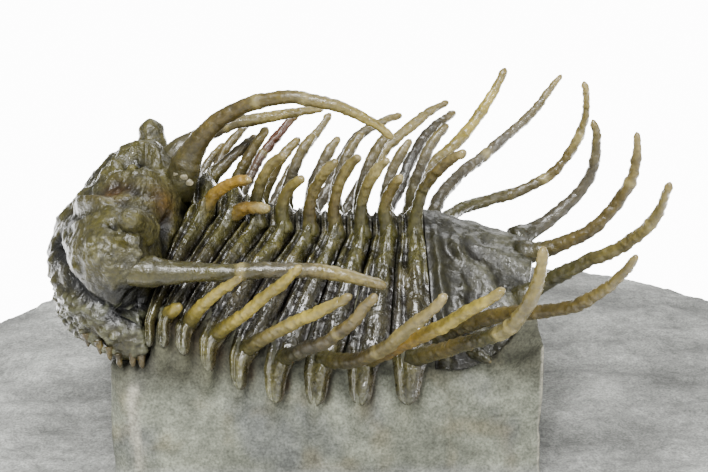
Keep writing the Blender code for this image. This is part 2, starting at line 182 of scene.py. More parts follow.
class Pile:
    """Points, faces and colours of several closed bodies that become one piece."""

    def __init__(self):
        self.points = []
        self.tints = []
        self.faces = []
        self.count = 0

    def add(self, points, tints, rings, around):
        self.faces.extend(ring_faces(rings, around, self.count))
        self.points.append(points.reshape(-1, 3))
        self.tints.append(tints.reshape(-1, 3))
        self.count += rings * around

    def piece(self, name, material):
        mesh = bpy.data.meshes.new(name)
        points = (np.concatenate(self.points) + BODY_PLACE) * MM
        mesh.from_pydata([tuple(p) for p in points], [], self.faces)
        store_tints(mesh, np.concatenate(self.tints))
        bm = bmesh.new()
        bm.from_mesh(mesh)
        bmesh.ops.recalc_face_normals(bm, faces=bm.faces)
        bm.to_mesh(mesh)
        bm.free()
        mesh.shade_smooth()
        mesh.materials.append(material)
        print(name, len(mesh.vertices), "points")
        return add_object(name, mesh)


print("a new pile holds", Pile().count, "points")

# %% [markdown]
# A finish is a small network of nodes. These helpers make the nodes that every finish here
# needs. They read the object's own coordinates, so the noise stays with the piece.

# %% Finish helpers
CLOUD_DETAIL = 3.0
BUMP_DISTORTION = 0.4


def link(tree, output, target):
    tree.links.new(output, target)


def set_values(node, **values):
    """Write plain numbers on sockets; an underscore stands for a space in a socket's name."""
    for name, value in values.items():
        node.inputs[name.replace("_", " ")].default_value = value


def noise_node(tree, size_mm, detail, distortion=0.0):
    node = tree.nodes.new("ShaderNodeTexNoise")
    set_values(node, Scale=1.0 / (size_mm * MM), Detail=detail, Distortion=distortion)
    link(tree, tree.nodes["place"].outputs["Object"], node.inputs["Vector"])
    return node


def ramp_node(tree, source, low, high, dark, light):
    node = tree.nodes.new("ShaderNodeMapRange")
    set_values(node, From_Min=low, From_Max=high, To_Min=dark, To_Max=light)
    link(tree, source, node.inputs["Value"])
    return node


def new_finish(name):
    finish = bpy.data.materials.new(name)
    finish.use_nodes = True
    tree = finish.node_tree
    place = tree.nodes.new("ShaderNodeTexCoord")
    place.name = "place"
    return finish, tree, tree.nodes["Principled BSDF"]


def tinted(tree, shader, layers):
    tint = tree.nodes.new("ShaderNodeAttribute")
    tint.attribute_name = "tint"
    colour = tint.outputs["Color"]
    for size_mm, low, high in layers:
        cloud = noise_node(tree, size_mm, CLOUD_DETAIL)
        speck = ramp_node(tree, cloud.outputs["Fac"], 0.3, 0.7, low, high)
        scale = tree.nodes.new("ShaderNodeVectorMath")
        scale.operation = "SCALE"
        link(tree, colour, scale.inputs[0])
        link(tree, speck.outputs["Result"], scale.inputs["Scale"])
        colour = scale.outputs["Vector"]
    link(tree, colour, shader.inputs["Base Color"])


def bumps(tree, shader, layers):
    """Chain of bumps: each has a size and a depth in millimetres, and a detail."""
    before = None
    for size_mm, depth_mm, detail in layers:
        bump = tree.nodes.new("ShaderNodeBump")
        set_values(bump, Strength=1.0, Distance=depth_mm * MM)
        height = noise_node(tree, size_mm, detail, BUMP_DISTORTION)
        link(tree, height.outputs["Fac"], bump.inputs["Height"])
        if before:
            link(tree, before.outputs["Normal"], bump.inputs["Normal"])
        before = bump
    link(tree, before.outputs["Normal"], shader.inputs["Normal"])


print("a 2 mm noise has the scale", round(1.0 / (2.0 * MM)))

# %% [markdown]
# The calcite of the shell is wet-looking: a dark body under a clear polish, with tiny facets
# that sparkle. Noise breaks up the points' own colours, and bumps make the facets. Only the
# spines let some light through. A painted picture could show this, but would blur close up.

# %% Calcite finish
ROUGHNESS_SPREAD = 0.25
COAT_ROUGHNESS = 0.05
GLOW_RADIUS = (1.0, 0.6, 0.3)
GLOW_DEPTH = 0.6
PLATE_CLOUDS = ((1.6, 0.70, 1.36), (0.32, 0.60, 1.48))
SPINE_CLOUDS = ((2.4, 0.66, 1.36), (0.32, 0.74, 1.28))
SHELL_FACETS = ((0.8, 0.20, 2.0), (0.22, 0.08, 2.0))
HEAD_FACETS = ((0.6, 0.13, 2.0), (0.24, 0.09, 2.0))
TAIL_FACETS = ((0.8, 0.09, 2.0), (0.22, 0.05, 2.0))
SPINE_FACETS = ((0.5, 0.08, 2.0), (0.18, 0.04, 2.0))


def calcite(name, polish, glow, coat, facets, clouds=PLATE_CLOUDS):
    finish, tree, shader = new_finish(name)
    tinted(tree, shader, clouds)
    uneven = noise_node(tree, 0.7, 2.0)
    rough = ramp_node(tree, uneven.outputs["Fac"], 0.35, 0.7, polish, polish + ROUGHNESS_SPREAD)
    link(tree, rough.outputs["Result"], shader.inputs["Roughness"])
    set_values(shader, Specular_IOR_Level=0.5, Coat_Weight=coat, Coat_Roughness=COAT_ROUGHNESS)
    set_values(shader, Subsurface_Weight=glow, Subsurface_Radius=GLOW_RADIUS)
    set_values(shader, Subsurface_Scale=GLOW_DEPTH * MM)
    bumps(tree, shader, facets)
    return finish


shell_finish = calcite("dark_polished_calcite", 0.16, 0.0, 0.6, SHELL_FACETS)
head_finish = calcite("olive_granular_calcite", 0.33, 0.0, 0.14, HEAD_FACETS)
tail_finish = calcite("grey_wrinkled_calcite", 0.38, 0.0, 0.12, TAIL_FACETS)
spine_finish = calcite("translucent_spine_calcite", 0.30, 0.08, 0.24, SPINE_FACETS, SPINE_CLOUDS)
print("calcite finishes:", shell_finish.name, head_finish.name, tail_finish.name, spine_finish.name)

# %% [markdown]
# Every spine is a tapering rod on a curved centre line, which is walked in small steps while
# its rise and splay turn evenly. A curve object could do this too, but the rings are needed
# as points, for the knobs and the colours.

# %% Centre line and tube of a spine
SPINE_STEP = 0.13
FEWEST_STEPS = 8
FIRST_SIDE_AXIS = (0.3, 0.2, 1.0)


def headings(rises, splays, side, shares):
    up = np.radians(np.interp(shares, np.linspace(0.0, 1.0, len(rises)), rises))
    out = np.radians(np.interp(shares, np.linspace(0.0, 1.0, len(splays)), splays))
    return np.stack((np.cos(up) * np.cos(out), side * np.cos(up) * np.sin(out), np.sin(up)), axis=-1)


def spine_line(root, side, length, rises, splays, sunk):
    steps = max(FEWEST_STEPS, int(length / SPINE_STEP))
    turns = headings(rises, splays, side, (np.arange(steps) + 0.5) / steps)
    walked = root + np.cumsum(turns, axis=0) * (length / steps)
    start = root - turns[0] * sunk
    return np.vstack((start, root, walked))


def tube_grid(line, radii, sides):
    """Rings of points around a line, without twist."""
    ahead = np.gradient(line, axis=0)
    ahead /= np.linalg.norm(ahead, axis=1, keepdims=True)
    side_axis = np.cross(ahead[0], FIRST_SIDE_AXIS)
    rings = []
    angle = 2.0 * np.pi * np.arange(sides) / sides
    for centre, forward, radius in zip(line, ahead, radii):
        side_axis = side_axis - forward * side_axis.dot(forward)
        side_axis /= np.linalg.norm(side_axis)
        up_axis = np.cross(forward, side_axis)
        circle = np.outer(np.cos(angle), side_axis) + np.outer(np.sin(angle), up_axis)
        rings.append(centre + circle * radius)
    return np.array(rings)


print("points on a 13 mm centre line:", len(spine_line(np.zeros(3), 1.0, 13.0, (60, 30), (20, 34), 0.35)))

# %% [markdown]
# The real rods are knobbly, with pale rings where breaks were mended and a blunt pale tip, and
# they widen at the root. Each change is a factor of its own, which keeps it easy to tune.

# %% Thickness and colours of a spine
MEND_COLOUR_WIDTH = 0.018
MEND_SWELL_WIDTH = 0.015
MEND_SWELL = 0.10
TIP_NARROWING = 0.22
KNOB_SIZE = 1.1


def along_spine(shares, length, offset=0.0):
    return np.stack((shares * length, shares * 0 + offset, shares * 0), axis=-1)


def spine_radii(shares, length, radius, tip_share, joints, flare, knobs, sunk, reach, shift):
    radii = radius * mix(1.0, tip_share, shares)
    radii = radii * (1.0 + knobs * 0.9 * grain(along_spine(shares, length), KNOB_SIZE, 2, shift))
    radii = radii * (1.0 - TIP_NARROWING * ease(shares, 0.75, 1.0))
    for joint in joints:
        radii = radii * (1.0 + MEND_SWELL * hump(shares, joint, MEND_SWELL_WIDTH))
    radii = radii * (1.0 + flare * np.exp(-np.maximum(shares * length - sunk, 0.0) / reach))
    to_round_tip = np.clip((1.0 - shares) * length / (radius * 0.9), 0.0, 1.0)
    return radii * np.sqrt(np.clip(1.0 - (1.0 - to_round_tip) ** 2, 0.02, 1.0))


def spine_tints(shares, colours, joints, tip_start):
    stops = np.linspace(0.0, 1.0, len(colours))
    tint = np.stack([np.interp(shares, stops, [c[i] for c in colours]) for i in range(3)], axis=-1)
    for joint in joints:
        tint = painted(tint, PALE, 0.8 * hump(shares, joint, MEND_COLOUR_WIDTH))
    return painted(tint, PINKISH, 0.7 * ease(shares, tip_start, 1.0))


print("colour half way up a tan spine:", spine_tints(np.array((0.5,)), (TAN, TAN), (), 0.86)[0].round(3))

# %% [markdown]
# The centre line wanders a little and the skin is rough, because a perfect sweep would look
# like bent wire. The root is sunk into the plate, so that the spine seems to grow from it.

# %% One spine
SPINE_SIDES = 18
SPINE_ROOT = 0.35
WANDER = 0.16
WANDER_SIZE = 2.6
SKIN_GRAIN = 0.42


def add_spine(pile, root, side, length, rises, splays, radius, tip_share, colours,
              joints=(), flare=0.55, knobs=0.07, tip_start=0.86, sunk=SPINE_ROOT, reach=0.7):
    line = spine_line(np.asarray(root, float), side, length, rises, splays, sunk)
    count = len(line)
    shares = np.linspace(0.0, 1.0, count)
    shift = float(np.abs(root).sum()) * 3.1
    free_part = ease(shares, 0.05, 0.4) * (1.0 - ease(shares, 0.9, 1.0))
    for axis in range(3):
        wander = grain(along_spine(shares, length, axis * 5.0), WANDER_SIZE, 1, shift)
        line[:, axis] += WANDER * wander * free_part
    radii = spine_radii(shares, length, radius, tip_share, joints, flare, knobs, sunk, reach, shift)
    grid = tube_grid(line, radii, SPINE_SIDES)
    rough = grain_grid(grid, SKIN_GRAIN, 2, shift)
    off_tip = ease((1.0 - shares) * length, 0.0, 0.5)[:, None, None]
    grid = grid + unit(grid - line[:, None, :]) * (rough * knobs * 1.1)[..., None] * off_tip
    tint = np.repeat(spine_tints(shares, colours, joints, tip_start)[:, None, :], SPINE_SIDES, axis=1)
    tint = tint * (1.0 + 0.25 * rough)[..., None]
    pile.add(grid, tint, count, SPINE_SIDES)


print("each spine has", SPINE_SIDES, "sides")

# %% [markdown]
# The thorax is one smooth arched surface that nine segments share. Ribs fan out from the
# hinge line beside the axis, and their ends bend down. The formulas are those of the solids,
# so the fine segments lie where the solid ones do, with three small changes: the middle and
# the far side are worn down, which opens the view between the upright spines, the gaps are
# narrower, and the rib ends swing forward a little less.

# %% Arched surface of the thorax
SEGMENT_COUNT = 9
SEGMENT_PITCH = 1.95
THORAX_FRONT = -12.3
GAP = 0.14
SHELL_THICKNESS = 1.0
RIB_TIP_THICKNESS = 0.55
FULCRUM_OUT = 3.0
RIB_EDGE_OUT = 10.0
RIB_TIP_OUT = 11.6
FAN_SWEEP = 4.8
FAN_END = 1.08
FAN_CENTRE = 3.3
FAN_PERIOD = 10.8
CREST_REAR = 2.1
CREST_RISE = 2.6
CREST_FADE = 2.2
FRONT_TIP_HEIGHT = -4.0
REAR_TIP_HEIGHT = -9.0
AXIS_RISE = 0.8
AXIS_HALF_WIDTH = 2.6
AXIS_WORN = 0.45
AXIS_WORN_WIDTH = 2.2
FAR_WORN = 0.75
ARCH_OUT = (0.0, 0.26, 0.48, 0.69, 0.86, 0.95, 1.0)
ARCH_DOWN = (0.0, 0.06, 0.24, 0.46, 0.68, 0.85, 1.0)


def arch(share):
    reads = [np.interp(np.clip(share + step, 0.0, 1.0), ARCH_OUT, ARCH_DOWN) for step in (-0.05, 0.0, 0.05)]
    return (reads[0] + 2.0 * reads[1] + reads[2]) / 4.0


def shell_point(along, across, worn_share=1.0):
    """Point on the arch: along counts segments from the front, across runs from -1 to 1."""
    along, across = np.broadcast_arrays(np.asarray(along, float), np.asarray(across, float))
    out = RIB_TIP_OUT * np.abs(across)
    sweep = FAN_SWEEP * np.cos(np.pi * (along - FAN_CENTRE) / FAN_PERIOD)
    fanned = np.clip((out - FULCRUM_OUT) / (RIB_EDGE_OUT - FULCRUM_OUT), 0.0, FAN_END)
    x = THORAX_FRONT + SEGMENT_PITCH * along - sweep * fanned
    crest = CREST_REAR + CREST_RISE * np.exp(-np.maximum(along, 0.0) / CREST_FADE)
    tip = mix(FRONT_TIP_HEIGHT, REAR_TIP_HEIGHT, ease(along, 1.5, 6.0))
    z = mix(crest, tip, arch(np.abs(across)))
    axis = AXIS_RISE * np.cos(0.5 * np.pi * out / AXIS_HALF_WIDTH) ** 2
    z = z + np.where(out < AXIS_HALF_WIDTH, axis, 0.0)
    worn = worn_share * ease(along, 1.5, 3.0)
    z = z - worn * AXIS_WORN * hump(out, 0.0, AXIS_WORN_WIDTH)
    z = z - worn * FAR_WORN * ease(across, -0.12, 0.12) * (1.0 - ease(across, 0.30, 0.55))
    return np.stack((x, np.where(across >= 0.0, out, -out), z), axis=-1)


def upright_normal(sideways):
    """Unit normal that has no lean along the body, from a step sideways on the surface."""
    normal = np.stack((np.zeros(sideways.shape[:-1]), -sideways[..., 2], sideways[..., 1]), axis=-1)
    return normal / np.linalg.norm(normal, axis=-1, keepdims=True)


def shell_normal(along, across):
    step = 0.03
    inside = np.clip(across, step - 1.0, 1.0 - step)
    sideways = shell_point(along, inside + step) - shell_point(along, inside - step)
    return upright_normal(sideways)


print("crest of segment 5:", shell_point(4.5, 0.0).round(2))

# %% [markdown]
# Each segment takes one strip of that surface, with half a gap left free on both sides. Near
# the ends the strip is drawn in, a little less than in the solids, so that the ribs stand
# apart there like fingers.

# %% Strip of one segment
RIB_TIP_WIDTH = 0.52
RIB_TIP_LEAN = 0.30


def segment_place(segment, across, share):
    front = float(segment - 1)
    width = shell_point(front + 1.0, across)[..., 0] - shell_point(front, across)[..., 0]
    margin = 0.5 * GAP / width
    tip_width = mix(1.0, RIB_TIP_WIDTH, float(ease(segment, 0.0, 5.0)))
    narrowing = mix(1.0, tip_width, ease(np.abs(across), 0.78, 0.98))
    narrowed = RIB_TIP_LEAN + (share - RIB_TIP_LEAN) * narrowing
    return front + mix(margin, 1.0 - margin, narrowed)


print("segment 5 from", segment_place(5, 0.0, 0.0).round(3), "to", segment_place(5, 0.0, 1.0).round(3))

# %% [markdown]
# Each segment carries a broad rounded rib with a narrow one in front of it and a dark groove
# between them. It swells where a spine stands. It could be sculpted, but nine segments that
# share one formula stay alike and fit each other.

# %% Relief of one segment
ACROSS_STEPS = 230
TOP_STEPS = 34
UNDER_STEPS = 5
DORSAL_PLACE = FULCRUM_OUT / RIB_TIP_OUT
LONG_PLACE = RIB_EDGE_OUT / RIB_TIP_OUT
SPINE_PLACE = 0.61
GROOVE_DEPTH = 0.42
BROAD_RIB_HEIGHT = 0.70
NARROW_RIB_HEIGHT = 0.36
SPINE_BOSS = 0.75
LONG_SPINE_BOSS = 0.30
RIB_LOBE = 0.35
LAST_EDGE_RISE = 0.35


def rib_relief(share):
    broad = BROAD_RIB_HEIGHT * np.exp(-np.abs((share - 0.62) / 0.27) ** 3)
    return broad + NARROW_RIB_HEIGHT * hump(share, 0.13, 0.10) - GROOVE_DEPTH


def segment_relief(segment, surface, place, across, top):
    out = np.abs(across)
    lumps = grain_grid(surface, 1.5, 3, segment * 4.7)
    fine = grain_grid(surface, 0.45, 2, segment * 2.3)
    lengthwise = np.stack((place * 7.5, across * 9.0 + 0.0 * top, 0.0 * place + segment), axis=-1)
    streaks = grain_grid(lengthwise, 1.0)
    relief = rib_relief(top) + 0.20 * lumps + 0.06 * fine + 0.13 * streaks
    relief = relief + SPINE_BOSS * hump(out, DORSAL_PLACE, 0.055) * hump(top, SPINE_PLACE, 0.26)
    if segment > 1:
        relief = relief + LONG_SPINE_BOSS * hump(out, LONG_PLACE, 0.05) * hump(top, SPINE_PLACE, 0.30)
    relief = relief + RIB_LOBE * hump(out, 0.93, 0.06) * hump(top, 0.5, 0.42)
    if segment == SEGMENT_COUNT:
        relief = relief + LAST_EDGE_RISE * ease(top, 0.80, 1.0)
    return relief, lumps, streaks


print("relief across a segment:", rib_relief(np.linspace(0, 1, 6)).round(2))

# %% [markdown]
# The ribs are olive on their crests, and painted shade makes the grooves almost black and darkens
# the steep flanks. Their ends are paler, with a brown rear side. Pale rims, partly a painted
# highlight, run along the segment edges beside the axis. The colours are mixed point by point, so
# that they follow the relief.

# %% Colours of one segment
RIB_COLOUR = screen(97, 94, 64)
RIB_LIGHT = screen(132, 124, 92)
RIB_END_COLOUR = screen(112, 108, 80)
RIB_TIP_COLOUR = screen(146, 146, 126)
FLANK_BROWN = screen(62, 52, 36)
FLANK_PAINTED_SHADE = screen(48, 43, 41)
PALE_RIM_HIGHLIGHT = screen(165, 160, 140)
CREST_HALF_WIDTH = 0.23


def segment_tint(relief, lumps, streaks, across, top):
    out = np.abs(across)
    # Low parts of the relief get painted shade: lit is near 0 in the grooves, which turn almost black.
    lit = ease(relief, -0.38, 0.12)
    tint = painted(DARK, painted(RIB_COLOUR, RIB_LIGHT, ease(lumps, 0.0, 0.7) * 0.6), lit)
    # Painted shade darkens the steep flanks of the arch, purple grey.
    shaded_flanks = ease(out, 0.42, 0.60) * (1.0 - ease(out, 0.80, 0.90))
    tint = painted(tint, FLANK_PAINTED_SHADE, 0.62 * shaded_flanks)
    ends = ease(out, 0.80, 0.93)
    end_colour = painted(RIB_END_COLOUR, RIB_TIP_COLOUR, ease(out, 0.93, 1.0))
    tint = painted(tint, end_colour * (1.0 + 0.35 * lumps[..., None]), ends * ease(lit, 0.1, 0.6))
    tint = painted(tint, FLANK_BROWN, 0.75 * ease(top, 0.66, 0.92) * ends)
    tint = tint * (1.0 + 0.36 * streaks[..., None])
    # Pale rims along the front and rear edges beside the axis, partly a painted highlight.
    crest_rim_highlight = (hump(top, 0.0, 0.05) + hump(top, 1.0, 0.05)) * (out < CREST_HALF_WIDTH)
    return painted(tint, PALE_RIM_HIGHLIGHT, 0.8 * crest_rim_highlight)


# The undersides are painted plain dark, as painted shade.
def dark_rows(rows, columns):
    return np.repeat(DARK[None, None, :], rows, 0).repeat(columns, 1)


print("colour of the crests:", RIB_COLOUR.round(3))

# %% [markdown]
# A plate needs a closed skin. Every ring of the grid runs over the top from front to back and
# returns underneath. Near each end the rings shrink, which rounds the tip.

# %% Closed skin of one segment
END_ROUNDING = 0.045


def segment_body(segment):
    across = np.linspace(-1.0, 1.0, ACROSS_STEPS)[:, None]
    top = np.linspace(0.0, 1.0, TOP_STEPS)[None, :]
    back = np.linspace(1.0, 0.0, UNDER_STEPS)[None, :]
    thickness = mix(SHELL_THICKNESS, RIB_TIP_THICKNESS, ease(np.abs(across), 0.6, 1.0))
    place = segment_place(segment, across, top)
    surface = shell_point(place, across)
    relief, lumps, streaks = segment_relief(segment, surface, place, across, top)
    relief = relief * thickness / SHELL_THICKNESS
    raised = surface + shell_normal(place, across) * relief[..., None]
    under_place = segment_place(segment, across, back)
    under = shell_point(under_place, across) - shell_normal(under_place, across) * thickness[..., None]
    grid = np.concatenate((raised, under), axis=1)
    middle = grid.mean(axis=1, keepdims=True)
    near_end = np.clip((np.abs(across) - 1.0 + END_ROUNDING) / END_ROUNDING, 0.0, 1.0)
    drawn_in = np.sqrt(np.clip(1.0 - near_end ** 2, 0.02, 1.0))
    grid = middle + (grid - middle) * drawn_in[..., None]
    tint = segment_tint(relief, lumps, streaks, across, top)
    return grid, np.concatenate((tint, dark_rows(ACROSS_STEPS, UNDER_STEPS)), axis=1)


print("points in one segment:", ACROSS_STEPS * (TOP_STEPS + UNDER_STEPS))

# %% [markdown]
# The dorsal spines stand in two rows beside the axis, and the long ones leave the ribs near
# their ends. The tables give lengths in millimetres and rises and splays in degrees, as in the
# solids, left side first. No two spines are alike, so a table looks truer than one rule.

# %% Shapes of the thorax spines
DORSAL_SPLAY = (20, 34)
DORSAL_SPINES = (
    ((5.2, (67, 3)), (5.2, (50, 20))),
    ((3.5, (43, -7)), (5.5, (75, 40))),
    ((6.8, (103, 31)), (6.0, (72, 35))),
    ((5.1, (110, 26)), (6.5, (92, 38))),
    ((6.7, (98, 39)), (6.5, (92, 38))),
    ((7.1, (104, 40)), (7.0, (96, 40))),
    ((7.0, (102, 39)), (7.0, (96, 40))),
    ((5.3, (110, 44)), (6.5, (96, 40))),
    ((8.7, (92, 29)), (8.0, (92, 35))),
)
LONG_SPINES = {
    2: ((1.8, (35, 40), (60, 50)), (6.5, (60, 40), (60, 35))),
    3: ((7.7, (44, 39), (67, 23)), (9.2, (79, 27), (67, 34))),
    4: ((11.3, (38, 46), (54, 28)), (11.7, (56, 36), (65, 24))),
    5: ((12.2, (37, 33), (59, 24)), (13.0, (50, 41), (58, 34))),
    6: ((12.9, (31, 35, 59), (62, 48, 34)), (16.2, (39, 56, -2), (42, 41, 28))),
    7: ((14.6, (12, 42, 51), (56, 45, 29)), (17.6, (49, 44, 14), (51, 36, 27))),
    8: ((15.6, (32, 41), (63, 27)), (15.8, (35, 52, 10), (44, 54, 38))),
    9: ((19.0, (30, 31, 92), (53, 55, 41)), (19.2, (69, 26, 58), (73, 37, 40))),
}
print(2 * len(DORSAL_SPINES), "dorsal spines and", 2 * len(LONG_SPINES), "long spines")

# %% [markdown]
# The spines change from olive or grey at the root to tan, yellow or orange. For the long
# spines the table also says how far along each mended break lies.

# %% Colours of the thorax spines
LEFT_DORSAL_COLOURS = (
    (ORANGE, ORANGE),
    (ORANGE, PALE),
    (OLIVE, TAN, TAN),
    (OLIVE, TAN, YELLOW),
    (BROWN, TAN, TAN),
    (BROWN, TAN, TAN),
    (OLIVE, TAN, PALE),
    (OLIVE, BROWN, TAN),
    (OLIVE, BROWN, PINKISH),
)
RIGHT_DORSAL_COLOURS = ((BROWN, GREY),) + 2 * ((BROWN, TAN),) + 6 * ((GREY, TAN),)
LONG_COLOURS = {
    2: ((YELLOW, YELLOW), (), (GREY, TAN), ()),
    3: ((YELLOW, YELLOW, TAN), (), (GREY, BROWN, TAN), ()),
    4: ((YELLOW, YELLOW, YELLOW), (), (GREY, REDDISH, REDDISH), (0.62,)),
    5: ((TAN, YELLOW, TAN), (0.52,), (GREY, TAN, TAN), ()),
    6: ((GREY, BROWN, PINKISH), (0.62,), (GREY, GREY, TAN), ()),
    7: ((BROWN, TAN, PINKISH), (0.45,), (GREY, TAN, TAN), (0.45,)),
    8: ((ORANGE, YELLOW, YELLOW), (), (DARK_GREY, DARK_GREY, GREY), ()),
    9: ((BROWN, OLIVE, TAN, TAN), (0.56, 0.62), (GREY, YELLOW, YELLOW), ()),
}
print("mended breaks:", sum(len(row[1]) + len(row[3]) for row in LONG_COLOURS.values()))

# %% [markdown]
# One function makes a ring of the body: its plate, and its spines as a second piece with the
# more see-through finish. Both stand in for the same solid.

# %% Rings of the thorax
DORSAL_RADIUS = 0.47
DORSAL_TIP_SHARE = 0.88
LONG_TIP_SHARE = 0.72


def long_radius(segment):
    return 0.43 + 0.02 * segment


def thorax_segment(segment):
    pile = Pile()
    grid, tint = segment_body(segment)
    pile.add(grid, tint, ACROSS_STEPS, TOP_STEPS + UNDER_STEPS)
    spines = Pile()
    for index, side in enumerate((-1.0, 1.0)):
        length, rises = DORSAL_SPINES[segment - 1][index]
        colours = (RIB_COLOUR,) + (LEFT_DORSAL_COLOURS, RIGHT_DORSAL_COLOURS)[index][segment - 1]
        root = shell_point(segment_place(segment, side * DORSAL_PLACE, SPINE_PLACE), side * DORSAL_PLACE)
        add_spine(spines, root, side, length, rises, DORSAL_SPLAY, DORSAL_RADIUS, DORSAL_TIP_SHARE,
                  colours, flare=0.35)
        if segment in LONG_SPINES:
            length, rises, splays = LONG_SPINES[segment][index]
            colours, joints = LONG_COLOURS[segment][2 * index:2 * index + 2]
            root = shell_point(segment_place(segment, side * LONG_PLACE, SPINE_PLACE), side * LONG_PLACE)
            add_spine(spines, root, side, length, rises, splays, long_radius(segment), LONG_TIP_SHARE,
                      (RIB_COLOUR,) + colours, joints, flare=0.20, knobs=0.08)
    node = "thorax_segment_%d" % segment
    plate = pile.piece("rib_ring_%d" % segment, shell_finish)
    rods = spines.piece("rib_ring_%d_spines" % segment, spine_finish)
    for made in (plate, rods):
        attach(made, "root")
    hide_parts(node)
    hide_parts(node)
    return plate, rods


rings = [thorax_segment(segment) for segment in range(1, SEGMENT_COUNT + 1)]
print(len(rings), "rings of the thorax")

# %% [markdown]
# The tail is one plate that continues the arch of the last ring and draws it in to a rounded
# end. The formula is that of the solid, so that both lie in the same place.

# %% Outline and arch of the tail
TAIL_LENGTH = 8.3
TAIL_HALF_WIDTH = 10.4
TAIL_ROUNDING = 2.6
TAIL_DROP = 2.1
TAIL_ROWS = 110
TAIL_ACROSS = 220
TAIL_LAST_ROW = 0.985


def tail_half_width(back):
    return TAIL_HALF_WIDTH * (1.0 - back ** TAIL_ROUNDING) ** (1.0 / TAIL_ROUNDING)


def tail_surface(back, out, side, worn_share=1.0):
    edge = shell_point(float(SEGMENT_COUNT), side * out / RIB_TIP_OUT, worn_share)
    middle = shell_point(float(SEGMENT_COUNT), 0.0, worn_share)
    x = mix(edge[..., 0], middle[0], back) + back * TAIL_LENGTH
    z = mix(edge[..., 2], middle[2] - AXIS_RISE, 0.15 * back) - TAIL_DROP * back
    return np.stack((x, side * out, z), axis=-1)


def tail_under(back, out, side, depth, worn_share=1.0):
    step = 0.1
    point = tail_surface(back, out, side, worn_share)
    sideways = (tail_surface(back, out + step, side, worn_share) - point) * np.asarray(side)[..., None]
    return point - upright_normal(sideways) * np.asarray(depth)[..., None]


print("width of the tail half way back:", round(2.0 * tail_half_width(0.5), 2))

# %% [markdown]
# Two bars cross the front of the tail like weak ribs, and folds fan out behind them. The folds
# are a wave bent a little by noise, which looks grown where even grooves would look machined.

# %% Relief and colours of the tail
TAIL_COLOUR = screen(66, 64, 42)
TAIL_LIGHT = screen(108, 105, 82)
TAIL_REAR = screen(92, 91, 76)
FOLDS_PER_RADIAN = 17.0
FOLD_HEIGHT = 0.30
FIRST_BAR_HEIGHT = 0.55
SECOND_BAR_HEIGHT = 0.45
TAIL_SUNK = 0.15


def tail_relief(surface, back, out):
    lumps = grain_grid(surface, 1.7, 4, 3.3)
    wrinkle = grain_grid(surface * (1.0, 1.0, 2.2), 0.8, 3, 8.1)
    around = np.arctan2(out, 1.5 + back * TAIL_LENGTH)
    folds = np.cos(around * FOLDS_PER_RADIAN + 1.4 * lumps) * ease(out, 1.0, 4.0) * ease(back, -0.1, 0.25)
    axis = hump(out, 0.0, 2.3) * (1.0 - ease(back, 0.5, 0.95))
    first_bar = hump(back, 0.10 + 0.02 * lumps, 0.055) * ease(out, 1.5, 3.5)
    second_bar = hump(back, 0.30 + 0.04 * lumps, 0.070) * ease(out, 1.0, 3.0) * (1.0 - ease(out, 5.0, 8.0))
    rim = ease(out / np.maximum(tail_half_width(back), 0.1), 0.88, 1.0)
    relief = FOLD_HEIGHT * folds * ease(back, 0.1, 0.35) + 0.15 * lumps + 0.07 * wrinkle + 0.25 * axis
    relief = relief - 0.3 * rim + FIRST_BAR_HEIGHT * first_bar + SECOND_BAR_HEIGHT * second_bar - TAIL_SUNK
    return relief, lumps, wrinkle


def tail_tint(relief, lumps, wrinkle, back):
    # Low parts of the folds get painted shade, near black.
    lit = ease(relief, -0.45, 0.45)
    tint = painted(DARK * 1.4, painted(TAIL_COLOUR, TAIL_LIGHT, ease(wrinkle, 0.0, 0.8) * 0.6), lit)
    rear = ease(back + 0.25 * lumps, 0.25, 0.60) * mix(0.3, 1.0, lit)
    return painted(tint * 0.55, TAIL_REAR * (1.0 + 0.3 * lumps[..., None]), rear)


print("folds over each half of the tail:", round(FOLDS_PER_RADIAN / 4.0, 1))

# %% [markdown]
# The skin of the tail is closed like that of a ring, with fewer columns underneath, because
# nobody sees them.

# %% Tail plate
UNDER_EVERY = 6


def tail_body():
    back = np.linspace(0.0, TAIL_LAST_ROW, TAIL_ROWS)[:, None] * np.ones((1, TAIL_ACROSS))
    across = np.linspace(-1.0, 1.0, TAIL_ACROSS)[None, :]
    side = np.where(across < 0.0, -1.0, 1.0) * np.ones_like(back)
    out = tail_half_width(back) * np.sin(0.5 * np.pi * np.abs(across))
    relief, lumps, wrinkle = tail_relief(tail_surface(back, out, side), back, out)
    clear_of_ring = np.array((0.1 * GAP, 0.0, 0.0))
    raised = tail_under(back, out, side, -relief) + clear_of_ring
    lower = tail_under(back, out, side, np.full(out.shape, SHELL_THICKNESS)) + clear_of_ring
    grid = np.concatenate((raised, lower[:, ::-1][:, ::UNDER_EVERY]), axis=1)
    under = dark_rows(TAIL_ROWS, grid.shape[1] - TAIL_ACROSS)
    return grid, np.concatenate((tail_tint(relief, lumps, wrinkle, back), under), axis=1)


tail_pile = Pile()
tail_grid, tail_colours = tail_body()
tail_pile.add(tail_grid, tail_colours, TAIL_ROWS, tail_grid.shape[1])
tail_plate = tail_pile.piece("tail_plate", tail_finish)

# %% [markdown]
# Three pairs of long spines leave the edge of the tail and sweep up, and a short spur stands
# at each side. Each row gives the side, how far back and out the root lies, the length, the
# rises and splays, the colours and the mended breaks.

